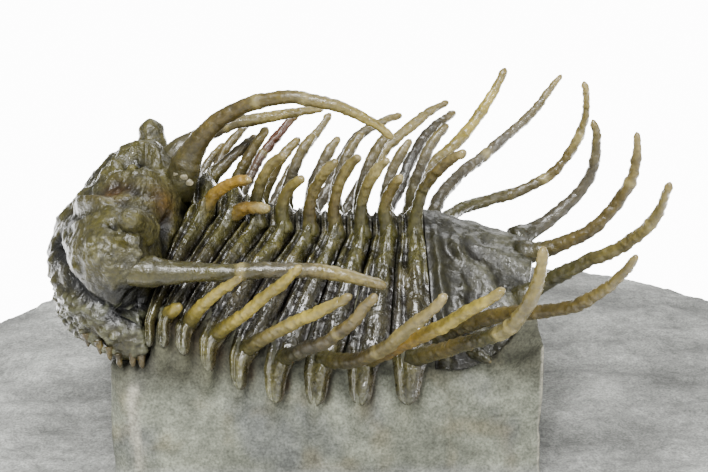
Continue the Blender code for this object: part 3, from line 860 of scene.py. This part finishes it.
# %% Spines of the tail
TAIL_SPINES = (
    (-1.0, 0.93, 2.1, 14.3, (14, 48, 102), (22, 8, 13), (BROWN, BROWN, PINKISH), (0.72,)),
    (1.0, 0.93, 2.1, 12.4, (11, 54, 113), (27, 4, -1), (GREY, GREY, TAN), ()),
    (-1.0, 0.85, 6.0, 17.0, (41, 32, 75), (17, 39, 72), (OLIVE, TAN, TAN), (0.76,)),
    (1.0, 0.22, 6.2, 25.3, (-14, 12, 107), (98, 8, 6), (OLIVE, BROWN, TAN), (0.62, 0.80)),
    (-1.0, 0.06, 8.9, 20.1, (36, 19, 62), (41, 43, 49), (BROWN, BROWN, TAN), ()),
    (1.0, 0.13, 7.3, 21.8, (14, 21, 52), (93, 35, 21), (GREY, GREY, TAN), (0.55, 0.9)),
)
TAIL_SPINE_RADIUS = 0.62
TAIL_TIP_SHARE = 0.58
SPUR_BACK = 0.36
SPUR_OUT = 9.4
SPUR_LENGTH = 2.1
HALF_DEEP = 0.5 * SHELL_THICKNESS

tail_rods = Pile()
for side, back, out, length, rises, splays, colours, joints in TAIL_SPINES:
    root = tail_under(np.array(back), np.array(out), np.array(side), HALF_DEEP, 0.4)
    add_spine(tail_rods, root, side, length, rises, splays, TAIL_SPINE_RADIUS, TAIL_TIP_SHARE,
              (TAIL_COLOUR,) + colours, joints, flare=0.55, knobs=0.09, sunk=0.5)
for side in (-1.0, 1.0):
    root = tail_under(np.array(SPUR_BACK), np.array(SPUR_OUT), np.array(side), HALF_DEEP)
    add_spine(tail_rods, root, side, SPUR_LENGTH, (0, -10), (60, 50), 0.50, 0.6,
              (TAIL_COLOUR, TAIL_COLOUR), tip_start=0.99)
tail_spines = tail_rods.piece("tail_plate_spines", spine_finish)
for made in (tail_plate, tail_spines):
    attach(made, "root")
    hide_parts("tail_shield")

# %% [markdown]
# The head is a high dome. It starts as the same stack of outlines as the solid, drawn with
# many more points. Each row of the table gives the share of the outline that is left, and its
# height at the front, at the sides and at the rear.

# %% Head dome
HEAD_CENTRE_X = -16.8
HEAD_LENGTH = 6.3
HEAD_HALF_WIDTH = 11.3
HEAD_CROWN_X = -15.6
HEAD_COLUMNS = 330
HEAD_STEPS = 150
ROW_SOFTENING = 30
HEAD_ROWS = (
    (0.90, -5.4, -5.4, -5.4),
    (1.00, -4.7, -4.7, -4.7),
    (0.965, -3.2, -3.2, -3.2),
    (1.00, -0.6, -1.0, -1.0),
    (0.98, 1.0, 2.2, 2.4),
    (0.84, 2.2, 4.4, 5.2),
    (0.61, 4.2, 5.3, 6.0),
    (0.38, 5.7, 6.2, 6.4),
    (0.16, 6.6, 6.8, 6.8),
    (0.01, 6.8, 6.9, 6.9),
)


def rounded_rows(values, steps):
    """Read a column of values at many even steps, softened so that no corner shows."""
    reads = np.interp(np.linspace(0, len(values) - 1, steps), np.arange(len(values)), values)
    for _ in range(ROW_SOFTENING):
        reads[1:-1] = (reads[:-2] + 2.0 * reads[1:-1] + reads[2:]) / 4.0
    return reads


def head_outline(turn):
    out = HEAD_HALF_WIDTH * np.sin(turn)
    front = HEAD_CENTRE_X + HEAD_LENGTH * np.cos(turn)
    rear = shell_point(0.0, out / RIB_TIP_OUT)[..., 0] - 0.5 * GAP
    return np.stack((np.where(np.cos(turn) <= 0.0, front, rear), out), axis=-1)


def head_grid():
    turn = 2.0 * np.pi * (np.arange(HEAD_COLUMNS) + 0.5) / HEAD_COLUMNS
    share, front, sides, rear = [rounded_rows([row[i] for row in HEAD_ROWS], HEAD_STEPS) for i in range(4)]
    outline = head_outline(turn)
    crown = np.array((HEAD_CROWN_X, 0.0))
    flat = crown + share[:, None, None] * (outline[None] - crown)
    sideways = np.abs(np.sin(turn)) ** 1.5
    fore = ease(-np.cos(turn), -0.12, 0.12)
    height = mix(mix(rear[:, None], front[:, None], fore[None]), sides[:, None], sideways[None])
    return np.concatenate((flat, height[..., None]), axis=-1)


dome = head_grid()
print("head dome", dome.shape)

# %% [markdown]
# The dome is pushed in and out. A swelling or a pit has a centre, and a ridge or a furrow
# follows a line; then come its width and its height or depth. Sculpting could do the same, but
# named forms can be moved one at a time while comparing with the fossil.

# %% Forms of the head
SWELLINGS = (
    ((-16.6, 0.3, 6.8), 1.6, 0.45),
    ((-18.6, -1.2, 5.6), 0.9, 0.40),
    ((-17.4, 0.6, 6.8), 0.7, 0.45),
    ((-14.4, -1.2, 6.3), 1.0, 0.50),
    ((-19.6, -4.4, 4.3), 0.8, 0.36),
    ((-18.6, -5.8, 4.9), 1.0, 0.45),
    ((-17.2, -9.8, 3.2), 1.7, 0.55),
    ((-18.4, -8.8, 2.2), 2.2, 0.50),
    ((-15.4, -4.3, 5.6), 1.3, 0.35),
)
PITS = (
    ((-16.5, -2.2, 6.6), 0.80, 1.00),
    ((-13.9, -5.8, 3.2), 0.9, 0.75),
    ((-18.3, -2.8, 5.4), 0.5, 0.35),
    ((-14.5, -10.8, -0.9), 1.4, 1.10),
    ((-15.7, -11.1, -0.4), 1.1, 0.60),
    ((-17.0, -4.4, 5.6), 0.8, 0.30),
)
CROWN_RING = ((-17.7, -1.4, 6.4), (-16.9, -0.8, 6.9), (-15.6, -0.8, 6.9), (-14.8, -1.7, 6.4))
BROW = ((-20.2, -3.9, 3.8), (-19.3, -5.0, 4.6), (-18.0, -6.3, 5.0))
LOWER_BROW = ((-20.8, -5.2, 2.7), (-19.8, -6.6, 3.6), (-18.5, -7.6, 4.2))
REAR_EDGE = ((-14.4, -4.0, 5.2), (-13.8, -6.0, 4.0), (-13.9, -7.8, 2.9), (-14.6, -9.4, 2.2))
CHEEK_ARCH = ((-22.3, -0.6, 1.9), (-20.4, -1.6, 4.0), (-18.4, -2.9, 5.6), (-16.2, -3.5, 6.4),
              (-14.1, -2.9, 5.9))
OUTER_RIM = ((-22.5, -3.0, 0.2), (-21.9, -6.2, -0.4), (-20.6, -8.9, -1.8), (-18.5, -10.7, -2.9),
             (-16.2, -11.2, -3.4))
RIDGES = (
    (CROWN_RING, 0.38, 0.80),
    (BROW, 0.52, 0.42),
    (LOWER_BROW, 0.38, 0.36),
    (REAR_EDGE, 0.40, 0.35),
    (CHEEK_ARCH, 0.55, 0.40),
    (OUTER_RIM, 0.75, 0.35),
)
EYE_FURROW = ((-17.4, -8.9, 4.6), (-16.4, -10.2, 3.9), (-15.2, -10.4, 3.7), (-14.4, -9.4, 3.7))
BROW_FURROW = ((-20.4, -4.6, 3.5), (-18.6, -6.6, 4.5))
RIM_FURROW = ((-22.2, -4.4, 1.6), (-20.9, -7.6, 1.2), (-20.2, -9.2, 0.2), (-18.4, -10.7, -0.9),
              (-16.2, -11.2, -1.6), (-14.8, -10.4, -1.0))
SIDE_FURROW = ((-21.4, -1.2, 2.6), (-19.4, -3.6, 4.5), (-17.2, -5.0, 5.4), (-15.0, -5.2, 5.0))
CROWN_FURROW = ((-19.6, -2.2, 4.8), (-17.6, -2.4, 6.2), (-15.6, -2.6, 6.4))
FURROWS = (
    (EYE_FURROW, 0.40, 0.60),
    (BROW_FURROW, 0.26, 0.45),
    (RIM_FURROW, 0.60, 0.75),
    (SIDE_FURROW, 0.45, 0.35),
    (CROWN_FURROW, 0.35, 0.30),
)
print(len(SWELLINGS), "swellings,", len(PITS), "pits,", len(RIDGES), "ridges and", len(FURROWS), "furrows")

# %% [markdown]
# The lists become one height for every point of the dome. The far side gets the same forms in
# mirror image, only weaker, because it is more worn.

# %% Pushing the dome
FAR_SHARE = 0.40
ON_MIDLINE = 0.7
WORN_FRONT = (-19.6, 3.8, 4.2)
WORN_DEPTH = 0.8
WORN_SIZE = 2.6
RIM_LIFT = 0.8


def near_spot(points, centre, size):
    return hump(np.linalg.norm(points - np.array(centre), axis=-1), 0.0, size)


def distance_to_line(points, line):
    best = np.full(points.shape[:-1], np.inf)
    for start, end in zip(line[:-1], line[1:]):
        start = np.array(start)
        stretch = np.array(end) - start
        share = np.clip(((points - start) @ stretch) / (stretch @ stretch), 0.0, 1.0)
        best = np.minimum(best, np.linalg.norm(points - start - share[..., None] * stretch, axis=-1))
    return best


def mirrored(forms):
    both = list(forms)
    for first, size, push in forms:
        if isinstance(first[0], tuple):
            both.append((tuple((x, -y, z) for x, y, z in first), size, FAR_SHARE * push))
        elif abs(first[1]) > ON_MIDLINE:
            both.append(((first[0], -first[1], first[2]), size, FAR_SHARE * push))
    return both


def head_relief(points):
    relief = np.zeros(points.shape[:-1])
    for forms, sign in ((SWELLINGS, 1.0), (PITS, -1.0)):
        for centre, size, push in mirrored(forms):
            relief += sign * push * near_spot(points, centre, size)
    for forms, sign in ((RIDGES, 1.0), (FURROWS, -1.0)):
        for line, width, push in mirrored(forms):
            relief += sign * push * hump(distance_to_line(points, line), 0.0, width)
    return relief


def rim_lift(x, z):
    """The front of the rim curves up a little, away from the stone."""
    return RIM_LIFT * ease(-np.asarray(x), 17.2, 19.4) * ease(-np.asarray(z), 1.0, 5.0)


for _ in range(14):
    dome = (np.roll(dome, 1, axis=1) + 2.0 * dome + np.roll(dome, -1, axis=1)) / 4.0
normals = grid_normals(dome)
outward = np.sign((normals * (dome - np.array((HEAD_CROWN_X, 0.0, 0.0)))).sum(axis=-1).mean())
normals = normals * outward
lobes = head_relief(dome)
print("highest and deepest push:", lobes.max().round(2), lobes.min().round(2))

# %% [markdown]
# Granules cover the rim, the crown and a patch on the cheek. Each one is a small round push at
# a random point, and a fixed seed makes the same ones every time.

# %% Granules
SEED = 7
RIM_GRANULES = 520
CHEEK_GRANULES = 34
CROWN_GRANULES = 150
random_numbers = np.random.default_rng(SEED)


def granules(points, chosen, count, size, height):
    flat = points.reshape(-1, 3)
    spots = random_numbers.choice(np.flatnonzero(chosen.ravel()), count, replace=False)
    push = np.zeros(len(flat))
    for spot in spots:
        near = np.flatnonzero(np.abs(flat - flat[spot]).max(axis=1) < 2.0 * size)
        gap = np.linalg.norm(flat[near] - flat[spot], axis=1)
        push[near] = np.maximum(push[near], height * hump(gap, 0.0, size))
    return push.reshape(points.shape[:-1])


rim_zone = (dome[..., 2] < -0.6) & (dome[..., 2] > -4.6)
cheek_patch = np.linalg.norm(dome - np.array((-17.0, -10.2, 3.0)), axis=-1) < 1.6
crown_zone = (dome[..., 2] > 3.6) & (np.abs(dome[..., 1]) < 6.5)
cheek_beads = granules(dome, cheek_patch, CHEEK_GRANULES, 0.19, 0.20)
beads = granules(dome, rim_zone, RIM_GRANULES, 0.28, 0.26) + cheek_beads
beads = beads + granules(dome, crown_zone, CROWN_GRANULES, 0.24, 0.10)
print(RIM_GRANULES + CHEEK_GRANULES + CROWN_GRANULES, "granules")

# %% [markdown]
# All pushes are added up. Close to the first ring the outward ones are weakened, so that the
# head never touches it.

# %% Surface of the head
LOBE_STRENGTH = 1.15
SEAM_SHARE = 0.35

soft_lumps = grain_grid(dome, 1.5, 4, 5.5)
crumbs = grain_grid(dome, 0.42, 2, 7.7)
worn = WORN_DEPTH * near_spot(dome, WORN_FRONT, WORN_SIZE)
above_foot = ease(dome[..., 2], -5.3, -4.6)
from_seam = ease(HEAD_CROWN_X + 0.6 - dome[..., 0], -1.2, 0.6)
relief = (LOBE_STRENGTH * lobes - worn + beads + 0.17 * soft_lumps + 0.07 * crumbs) * above_foot
relief = np.where(relief > 0.0, relief * mix(SEAM_SHARE, 1.0, from_seam), relief)
head_points = dome + normals * relief[..., None]
head_points[..., 2] += rim_lift(head_points[..., 0], head_points[..., 2])
print("top of the head:", head_points[..., 2].max().round(2))

# %% [markdown]
# The head is olive with grey clouds, with painted shade in its hollows and along the rim's furrow,
# and amber where the calcite is thin. The granules catch the light, so they are tinted paler, and
# the granules of the cheek patch get painted glints.

# %% Colours of the head
HEAD_COLOUR = screen(94, 90, 61)
HEAD_GREY = screen(102, 98, 60)
HEAD_DARK = screen(28, 27, 16)
AMBER = screen(112, 84, 38)
GRANULE_LIGHT = screen(196, 198, 170)
PALE_GRAIN = screen(226, 218, 190)

# Low parts of the relief get painted shade, dark olive.
lit = ease(lobes + 0.5 * soft_lumps + 1.2 * beads + 0.2 * crumbs, -0.40, 0.40)
greyness = ease(grain_grid(dome, 2.6, 3, 1.2), -0.1, 0.5)
head_tint = painted(HEAD_DARK, painted(HEAD_COLOUR, HEAD_GREY, greyness * 0.7), lit)
# Painted shade along the furrow inside the rim.
from_furrow = distance_to_line(dome, RIM_FURROW)
head_tint = head_tint * mix(0.35, 1.0, ease(from_furrow, 0.2, 1.5))[..., None]
# Painted shade in the hollow under the cheek spine's root and in the crown's pit.
hollow = near_spot(dome, (-14.2, -11.0, -0.4), 2.5)
crown_pit = near_spot(dome, (-16.5, -2.1, 6.5), 0.85)
head_tint = head_tint * (1.0 - 0.85 * np.maximum(hollow, crown_pit))[..., None]
thin_spots = near_spot(dome, (-17.6, -5.0, 5.3), 1.1) + near_spot(dome, (-14.2, -5.0, 4.6), 1.2)
head_tint = painted(head_tint, AMBER, np.clip(thin_spots, 0.0, 1.0) * 0.6)
head_tint = head_tint * (1.0 - rim_zone[..., None] * 0.45)
head_tint = painted(head_tint, GRANULE_LIGHT, np.clip(beads * 4.0 - 0.25, 0.0, 1.0) * 0.35)
# Painted glints on the granules of the cheek patch, pale.
head_tint = painted(head_tint, PALE_GRAIN, np.clip(cheek_beads * 5.0 - 0.45, 0.0, 1.0) * 0.30)
print("mean colour of the head:", head_tint.mean(axis=(0, 1)).round(3))

# %% [markdown]
# The eyes are knobs on the highest corners of the head, and a small knob stands in the crown's
# pit. Each is a turned shape, as from a lathe: a profile lists (share of the way up, radius).

# %% Eyes
KNOB_RINGS = 44
NEAR_EYE = ((0.0, 1.5), (0.30, 1.20), (0.5, 0.98), (0.7, 0.92), (0.85, 0.74), (0.95, 0.46), (1.0, 0.02))
FAR_EYE = ((0.0, 2.0), (0.3, 1.25), (0.6, 1.05), (0.82, 0.95), (0.94, 0.6), (1.0, 0.02))
CROWN_KNOB = ((0.0, 0.55), (0.6, 0.5), (0.85, 0.35), (1.0, 0.02))


def add_knob(pile, foot, top, profile, tint, rough=0.12, sides=40):
    shares = np.linspace(0.0, 1.0, KNOB_RINGS)
    radii = np.interp(shares, [p[0] for p in profile], [p[1] for p in profile])
    for _ in range(3):
        radii[1:-1] = (radii[:-2] + 2.0 * radii[1:-1] + radii[2:]) / 4.0
    foot = np.asarray(foot, float)
    line = foot + shares[:, None] * (np.asarray(top, float) - foot)
    grid = tube_grid(line, np.maximum(radii, 0.02), sides)
    lumps = grain_grid(grid, 0.8, 3, 2.2)
    grid = grid + unit(grid - line[:, None, :]) * (rough * lumps)[..., None]
    shade = np.repeat(np.asarray(tint)[None, None, :], KNOB_RINGS, 0).repeat(sides, 1)
    pile.add(grid, shade * (1.0 + 0.5 * lumps)[..., None], KNOB_RINGS, sides)


head_pile = Pile()
head_pile.add(head_points, head_tint, HEAD_STEPS, HEAD_COLUMNS)
add_knob(head_pile, (-15.6, -7.6, 3.6), (-16.1, -10.3, 5.9), NEAR_EYE, HEAD_COLOUR * 1.1)
add_knob(head_pile, (-15.8, 7.6, 3.4), (-16.2, 8.9, 6.75), FAR_EYE, HEAD_COLOUR * 1.1)
add_knob(head_pile, (-16.4, -1.5, 5.4), (-16.6, -2.5, 6.7), CROWN_KNOB, HEAD_COLOUR * 1.3)
print("points in the head so far:", head_pile.count)

# %% [markdown]
# Small denticles hang from the lower edge of the rim. Some stand around the front curve and
# some along the straight side, so their places come from both.

# %% Denticles
DENTICLE_TURNS = np.radians((93, 99, 106, 115))
DENTICLE_SIDE_PLACES = (-16.2, -15.5)
DENTICLE_SHAPE = ((0.0, 0.34), (0.4, 0.26), (0.8, 0.15), (0.93, 0.09), (1.0, 0.02))
DENTICLE_COLOUR = screen(92, 82, 56)
DENTICLE_TIP = -5.3
DENTICLE_LENGTH = 1.0

for side in (-1.0, 1.0):
    around_front = [head_outline(side * turn) for turn in DENTICLE_TURNS]
    along_side = [(x, side * HEAD_HALF_WIDTH) for x in DENTICLE_SIDE_PLACES]
    for x, y in around_front + along_side:
        y = 1.01 * y
        low = DENTICLE_TIP + rim_lift(x, DENTICLE_TIP) + 0.25 * np.sin(7.0 * x)
        add_knob(head_pile, (x, 0.98 * y, low + DENTICLE_LENGTH), (x + 0.1, y, low), DENTICLE_SHAPE,
                 DENTICLE_COLOUR, sides=16)
head_plate = head_pile.piece("head_plate", head_finish)

# %% [markdown]
# Two spines stand at the back of the head and one leaves each cheek: a long one on the left
# and a broken stub on the right. Pale grains sit at the foot of the tall spine. The columns are
# those of the tail's table, with the root as a point, a radius and the tip's share of it.

# %% Spines of the head
HEAD_SPINES = (
    (-1.0, (-12.9, -1.9, 5.5), 19.9, (75, 13, -44), (4, 18, 2), 0.68, 0.56,
     (BROWN, BROWN, TAN, YELLOW), (0.46, 0.64)),
    (1.0, (-14.0, 1.9, 5.6), 12.9, (47, 4, 4), (9, 13, 18), 0.62, 0.55, (GREY, TAN, TAN), (0.4,)),
    (-1.0, (-15.6, -10.2, 1.6), 17.9, (0, 7, -18), (11, 7, 8), 0.66, 0.72,
     (OLIVE, OLIVE, GREY, TAN, TAN), (0.43,)),
    (1.0, (-15.6, 10.2, 1.6), 2.4, (0, 5), (11, 9), 0.66, 0.80, (OLIVE, GREY), ()),
)
PALE_GRAINS = ((-12.9, -3.0, 5.7), (-12.6, -3.1, 6.0), (-13.1, -2.9, 6.2), (-12.3, -2.9, 6.5),
               (-12.7, -2.9, 6.7), (-13.4, -2.8, 5.5), (-12.3, -3.0, 5.6), (-12.4, -2.7, 7.2))
PALE_GRAIN_SHAPE = ((0.0, 0.33), (0.6, 0.30), (1.0, 0.02))

head_rods = Pile()
for side, root, length, rises, splays, radius, tip_share, colours, joints in HEAD_SPINES:
    add_spine(head_rods, root, side, length, rises, splays, radius, tip_share,
              (HEAD_COLOUR,) + colours, joints, flare=0.75, knobs=0.06, sunk=1.4, reach=1.9)
for x, y, z in PALE_GRAINS:
    add_knob(head_rods, (x, y + 0.2, z), (x, y - 0.1, z + 0.05), PALE_GRAIN_SHAPE, PALE_GRAIN, sides=14)
head_spines = head_rods.piece("head_plate_spines", spine_finish)
for made in (head_plate, head_spines):
    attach(made, "root")
    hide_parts("head_shield")

# %% [markdown]
# The stone was cut back with an air pen, which leaves soft, shallow hollows. The long flat
# faces of the solid can't follow them, so a copy is remeshed into small even faces.

# %% Fine copy of the stone
STONE_CELL = 0.38


def stone_mesh():
    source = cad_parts["matrix"]
    stone = add_object("stone", source.data.copy())
    remesh = stone.modifiers.new("even faces", "REMESH")
    remesh.mode = "VOXEL"
    remesh.voxel_size = STONE_CELL * MM
    soften = stone.modifiers.new("soften", "SMOOTH")
    soften.factor = 0.5
    soften.iterations = 3
    shown = stone.evaluated_get(bpy.context.evaluated_depsgraph_get())
    mesh = bpy.data.meshes.new_from_object(shown)
    stone.modifiers.clear()
    stone.data = mesh
    return stone


def read_vectors(items, name, count):
    values = np.zeros(count * 3, np.float32)
    items.foreach_get(name, values)
    return values.reshape(-1, 3)


stone = stone_mesh()
count = len(stone.data.vertices)
points = read_vectors(stone.data.vertices, "co", count).astype(float) / MM - BODY_PLACE
stone_normals = read_vectors(stone.data.vertex_normals, "vector", count)
print("stone", count, "points")

# %% [markdown]
# The surface is pushed by noise in three sizes, but hardly where the shell lies on it. Under
# each rib end the stone rises in a low ridge that carries the rib, as the cutter left it.

# %% Surface of the stone
LARGEST_PUSH = 0.22
ROOT_RIDGE = 1.0
ROOT_RIDGE_WIDTH = 0.50

waves = grain(points, 7.0, 3, 2.0)
ripples = grain(points * np.array((0.35, 1.0, 1.6)), 1.6, 3, 9.0)
pecks = grain(points, 0.9, 2, 4.0)
on_pedestal = ease(points[:, 2], -15.0, -13.0)
under_shell = ease(points[:, 2], -9.5, -8.0) * on_pedestal
above_base = ease(points[:, 2], -24.9, -23.0)
push = (0.30 * waves + 0.22 * ripples * (1.0 - on_pedestal) + 0.10 * pecks) * above_base
push = np.minimum(push * mix(1.0, 0.15, under_shell), LARGEST_PUSH)
front_face = ease(-stone_normals[:, 1], 0.4, 0.8) * on_pedestal
rib_tips = [shell_point(segment_place(segment, -1.0, 0.4), -1.0) for segment in range(2, SEGMENT_COUNT + 1)]
root_ridges = np.zeros(count)
for tip in rib_tips:
    ridge = hump(points[:, 0], tip[0], ROOT_RIDGE_WIDTH) * ease(points[:, 2], tip[2] - 3.2, tip[2] - 0.2)
    root_ridges = np.maximum(root_ridges, ridge * front_face)
push = push + ROOT_RIDGE * root_ridges * (1.0 + 0.4 * pecks)
moved = points + stone_normals * push[:, None]
stone.data.vertices.foreach_set("co", ((moved + BODY_PLACE) * MM).astype(np.float32).ravel())
print("pushes from", push.min().round(2), "to", push.max().round(2))

# %% [markdown]
# The slab is light grey and grows darker to the right. The pedestal is greenish grey with fine
# cutting strokes, cool and warm clouds, brown stain with painted shade under the ribs, a painted
# shadow behind each rib end, a crack and a pale front right corner.

# %% Colours of the stone
PEDESTAL_COLOUR = screen(186, 189, 175)
SLAB_COLOUR = screen(208, 209, 205)
COOL_PATCH = screen(148, 150, 152)
WARM_PATCH = screen(160, 148, 118)
RIB_STAIN_AND_SHADE = screen(70, 66, 52)
PALE_LINE = screen(246, 243, 228)
SLAB_ENDS = (-45.0, 45.0)
SLAB_SHADES = (1.24, 0.80)
STROKE_DIRECTIONS = np.array(((0.9, 0.0, 0.3), (0.0, 1.0, 0.0), (-0.5, 0.0, 0.25)))
CRACK_HEIGHTS = (-13.6, -12.0, -8.7, -7.1)
CRACK_PLACES = (-15.95, -16.0, -16.45, -16.2)
CRACK_WIDTH = 0.32


stone_tint = painted(SLAB_COLOUR, PEDESTAL_COLOUR, on_pedestal)
stone_tint = stone_tint * (1.0 + 0.22 * waves + 0.12 * ripples + 0.20 * pecks)[:, None]
patches = 1.0 + 0.38 * grain(points * np.array((0.6, 1.0, 1.4)), 4.5, 3, 20.0)
slab_shade = mix(*SLAB_SHADES, ease(points[:, 0], *SLAB_ENDS)) * patches
stone_tint = stone_tint * mix(slab_shade, patches, on_pedestal)[:, None]
strokes = grain(points @ STROKE_DIRECTIONS, 0.8, 3, 17.0)
stone_tint = stone_tint * (1.0 + 0.22 * strokes * on_pedestal)[:, None]
cool = ease(grain(points * np.array((1.0, 1.0, 0.5)), 3.6, 3, 31.0), 0.05, 0.6)
stone_tint = painted(stone_tint, COOL_PATCH, 0.5 * cool * on_pedestal)
warm = ease(grain(points, 3.0, 3, 12.0), 0.15, 0.7)
stone_tint = painted(stone_tint, WARM_PATCH, 0.35 * warm * on_pedestal)
# The top of the pedestal under the ribs gets brown stain and painted shade.
stone_tint = painted(stone_tint, RIB_STAIN_AND_SHADE, 0.75 * ease(points[:, 2], -9.0, -5.5) * on_pedestal)
stone_tint = painted(stone_tint, RIB_TIP_COLOUR, 0.5 * root_ridges)
# A painted shadow, brown, falls on the stone just behind each rib end.
for tip in rib_tips:
    rib_end_shadow = hump(points[:, 0], tip[0] + 0.90, 0.45) * ease(points[:, 2], tip[2] - 1.6, tip[2] + 1.0)
    rib_end_shadow = 1.17 * rib_end_shadow * front_face * (1.0 + 0.5 * pecks)
    stone_tint = painted(stone_tint, FLANK_BROWN, np.clip(rib_end_shadow, 0.0, 1.0))
# Pale along the rounded corner between the front and the right side.
pale_right_corner = ease(stone_normals[:, 0], 0.30, 0.60) * ease(-stone_normals[:, 1], 0.30, 0.60)
crack_place = np.interp(points[:, 2], CRACK_HEIGHTS, CRACK_PLACES) + 0.12 * pecks
on_front = ease(-stone_normals[:, 1], 0.6, 0.8) * ease(-points[:, 2], 6.8, 7.2)
crack = hump(points[:, 0], crack_place, CRACK_WIDTH) * on_front
stone_tint = painted(stone_tint, PALE_LINE, np.maximum(pale_right_corner, crack) * on_pedestal)
store_tints(stone.data, stone_tint)
stone.data.shade_smooth()
print("mean colour of the stone:", stone_tint.mean(axis=0).round(3))

# %% [markdown]
# Limestone is matt and finely speckled. The finish has three sizes of speckle in its colour,
# and a bump of fine pecks. It has no polish at all.

# %% Limestone finish
LIMESTONE_CLOUDS = ((2.2, 0.84, 1.16), (0.6, 0.80, 1.20), (0.18, 0.66, 1.38))
LIMESTONE_BUMPS = ((1.4, 0.10, 3.0), (0.30, 0.06, 3.0))


def limestone(name):
    finish, tree, shader = new_finish(name)
    tinted(tree, shader, LIMESTONE_CLOUDS)
    set_values(shader, Roughness=0.82, Specular_IOR_Level=0.3)
    bumps(tree, shader, LIMESTONE_BUMPS)
    return finish


stone.data.materials.clear()
stone.data.materials.append(limestone("speckled_limestone"))
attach(stone, "root")
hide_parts("matrix")
print("finish of the stone:", stone.data.materials[0].name)

# %% [markdown]
# The camera stands where the photograph was taken: 129 mm from the animal, 22 degrees above
# it, nearly square to its left side. The place was worked out from spine tips that mirror each
# other, because a guess by eye would tilt the whole animal.

# %% Camera
CAMERA_PLACE = np.array((-2.71, -119.30, 48.21))
CAMERA_AIM = Vector((0.0210, 0.9269, -0.3746))
camera = add_object("camera", bpy.data.cameras.new("camera"))
camera.location = (CAMERA_PLACE + BODY_PLACE) * MM
camera.rotation_euler = CAMERA_AIM.to_track_quat("-Z", "Y").to_euler()
camera.data.lens = 85.0
camera.data.sensor_width = 36.0
camera.data.clip_start = 0.005
camera.data.clip_end = 10.0
bpy.context.scene.camera = camera
print("camera at", tuple(round(v, 4) for v in camera.location))

# %% [markdown]
# The floor is plain. Behind the stone it glows like a sheet lit from below, which keeps the
# background bright without washing out the dark calcite in front.

# %% Floor
FLOOR_REACH = 3.0
SHEET_MIDDLE = (0.0, 0.115, 0.0)
SHEET_INNER = 0.10
SHEET_OUTER = 0.16
SHEET_LIGHT = 12.0
floor_mesh = bpy.data.meshes.new("floor")
corners = [(x * FLOOR_REACH, y * FLOOR_REACH, 0.0) for x, y in ((-1, -1), (1, -1), (1, 1), (-1, 1))]
floor_mesh.from_pydata(corners, [], [(0, 1, 2, 3)])
floor = add_object("floor", floor_mesh)
floor_finish, floor_tree, floor_shader = new_finish("pale_floor")
set_values(floor_shader, Base_Color=(0.55, 0.55, 0.55, 1.0), Roughness=0.9)
set_values(floor_shader, Emission_Color=(1.0, 1.0, 1.0, 1.0))
from_middle = floor_tree.nodes.new("ShaderNodeVectorMath")
from_middle.operation = "DISTANCE"
from_middle.inputs[1].default_value = SHEET_MIDDLE
link(floor_tree, floor_tree.nodes["place"].outputs["Object"], from_middle.inputs[0])
lit_sheet = ramp_node(floor_tree, from_middle.outputs["Value"], SHEET_INNER, SHEET_OUTER, SHEET_LIGHT, 0.0)
link(floor_tree, lit_sheet.outputs["Result"], floor_shader.inputs["Emission Strength"])
floor_mesh.materials.append(floor_finish)
floor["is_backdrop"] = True
print("floor", 2.0 * FLOOR_REACH, "m wide")

# %% [markdown]
# Three soft lights stand around the table: a bright one above on the left, a broad weak one on
# the right, and one behind. Two small ones add the sharp sparkles on the polish, which large
# lights can't make. Sizes are in metres and powers in watts.

# %% Lights
LIGHTS = (
    ("key", (-0.16, -0.34, 0.62), 0.30, 9.0),
    ("fill", (0.50, -0.45, 0.30), 0.45, 3.0),
    ("back", (0.25, 0.55, 0.55), 0.50, 4.0),
    ("sparkle_left", (-0.12, -0.40, 0.30), 0.04, 1.2),
    ("sparkle_right", (0.20, -0.38, 0.36), 0.04, 0.8),
)
LIT_POINT = Vector((0.0, 0.0, 0.02))


def soft_light(name, place, size, power):
    lamp = bpy.data.lights.new(name, "AREA")
    lamp.shape = "DISK"
    lamp.size = size
    lamp.energy = power
    made = add_object(name, lamp)
    made.location = place
    made.rotation_euler = (LIT_POINT - Vector(place)).to_track_quat("-Z", "Y").to_euler()
    made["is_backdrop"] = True


for name, place, size, power in LIGHTS:
    soft_light(name, place, size, power)
world = bpy.data.worlds.new("pale_room")
world.use_nodes = True
set_values(world.node_tree.nodes["Background"], Color=(0.95, 0.97, 1.0, 1.0), Strength=0.34)
bpy.context.scene.world = world
print(len(LIGHTS), "lights")

# %% [markdown]
# The last cell prints the box of everything shown, so that the size of the dressed model can be
# compared with the solids.

# %% Sizes
low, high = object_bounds()
print("shown from", tuple(low), "to", tuple(high))
